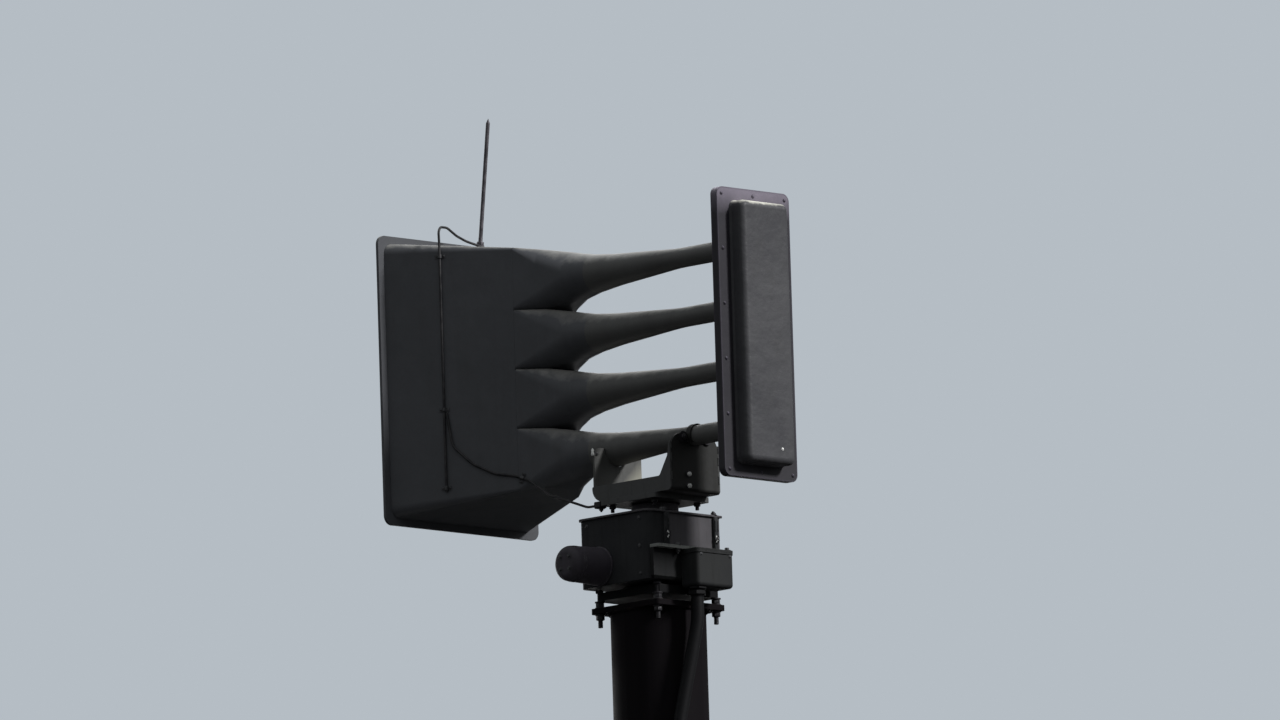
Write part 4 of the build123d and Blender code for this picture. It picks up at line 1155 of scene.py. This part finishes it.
def makeClipScrews(look):
    shape = bmesh.new()
    bellLow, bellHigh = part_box("horn_bell")
    slope = (bellHigh.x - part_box("horn_cell_1")[1].x) / (bellHigh.y - bellLow.y)
    angle = atan(slope)
    outward = Vector((cos(angle), sin(angle), 0))
    rearward = Vector((-sin(angle), cos(angle), 0))
    down = Vector(downAxis)
    seats = [(look["y"], rise, down) for rise in look["rises"]]
    dip = radians(look["lastAngle"])
    seats.append((*look["last"], rearward * cos(dip) + down * sin(dip)))
    for y, rise, direction in seats:
        half = bellHigh.x - slope * (y - bellLow.y)
        point = Vector((half, y, hornAxis + rise)) + outward * look["lift"]
        across = outward.cross(direction)
        for side in (-1, 1):
            addScrew(shape, placeAt(point + across * side * look["foot"], outward), look["screw"])
    makePiece("clipScrews", shape, "screw", sirenHead)


makeClipScrews(clipSet)
print("head details made")

# Camera, at the photograph's angle
cameraLook = {
    "aim": (0.0, 0.0, capTop),
    "shiftRight": -0.03277, "shiftUp": 0.78657,
    "distance": 76.0, "lens": 673.2, "sensor": 36, "clip": 2000,
    "right": (-0.70711, 0.70711, 0.0),
    "toward": (-0.699, -0.699, 0.1495),
    "tilt": 0.031,
}


def makeCamera(look):
    right = Vector(look["right"])
    toward = Vector(look["toward"]).normalized()
    up = right.cross(toward).normalized()
    target = Vector(look["aim"]) + right * look["shiftRight"] + up * look["shiftUp"]
    cameraRight = (right - up * look["tilt"]).normalized()
    cameraUp = (up + right * look["tilt"]).normalized()
    data = bpy.data.cameras.new("photoCamera")
    data.lens = look["lens"]
    data.sensor_width = look["sensor"]
    data.clip_end = look["clip"]
    camera = addObject("photoCamera", data)
    turn = Matrix((cameraRight, cameraUp, -toward)).transposed()
    camera.matrix_world = Matrix.Translation(target - toward * look["distance"]) @ turn.to_4x4()
    scene.camera = camera


makeCamera(cameraLook)

lightLook = {
    "keyLight": {"from": (-0.35, 0.75, 0.56), "strength": 3.1, "angle": 9},
    "fillLight": {"from": (-0.45, -0.85, 0.30), "strength": 1.3, "angle": 60},
}


def makeLight(name, look):
    data = bpy.data.lights.new(name, "SUN")
    data.energy = look["strength"]
    data.angle = radians(look["angle"])
    addObject(name, data).rotation_euler = Vector(look["from"]).to_track_quat("Z", "Y").to_euler()


for name, look in lightLook.items():
    makeLight(name, look)

# The sky seen, and the light it gives, which grows from the lower height to the upper one
skyLook = {
    "seen": (0.463, 0.509, 0.553), "rays": ("Is Camera Ray", "Is Transmission Ray"),
    "glow": (0.94, 0.98, 1.0), "heights": (-0.15, 0.5), "light": (0.02, 0.44),
}


def makeSky(look):
    world = bpy.data.worlds.new("paleSky")
    scene.world = world
    world.use_nodes = True
    graph = Graph(world.node_tree)
    upward = graph.part(graph.add("TexCoord", output="Generated"), 2)
    strength = graph.rangeOf(upward, *look["heights"], *look["light"])
    ambient = graph.add("Background", {"Color": look["glow"], "Strength": strength})
    backdrop = graph.add("Background", {"Color": look["seen"]})
    camera, transmission = (graph.add("LightPath", output=ray) for ray in look["rays"])
    mix = graph.add("MixShader", {0: camera.atLeast(transmission), 1: ambient, 2: backdrop})
    graph.tree.links.new(mix.socket, graph.tree.nodes.new("ShaderNodeOutputWorld").inputs[0])


makeSky(skyLook)

floorLook = {"radius": 4.0, "segments": 96, "colour": (0.5, 0.5, 0.49), "rough": 0.8}


def makeFloor(look):
    mesh = bpy.data.meshes.new("paleFloor")
    shape = bmesh.new()
    bmesh.ops.create_circle(shape, cap_ends=True, segments=look["segments"], radius=look["radius"])
    shape.to_mesh(mesh)
    shape.free()
    paint = Finish("floorPaint", look).paint(Base_Color=look["colour"], Roughness=look["rough"])
    mesh.materials.append(paint)
    floor = addObject("paleFloor", mesh)


makeFloor(floorLook)
print("camera, light and floor ready")

scene.view_settings.view_transform = "Standard"
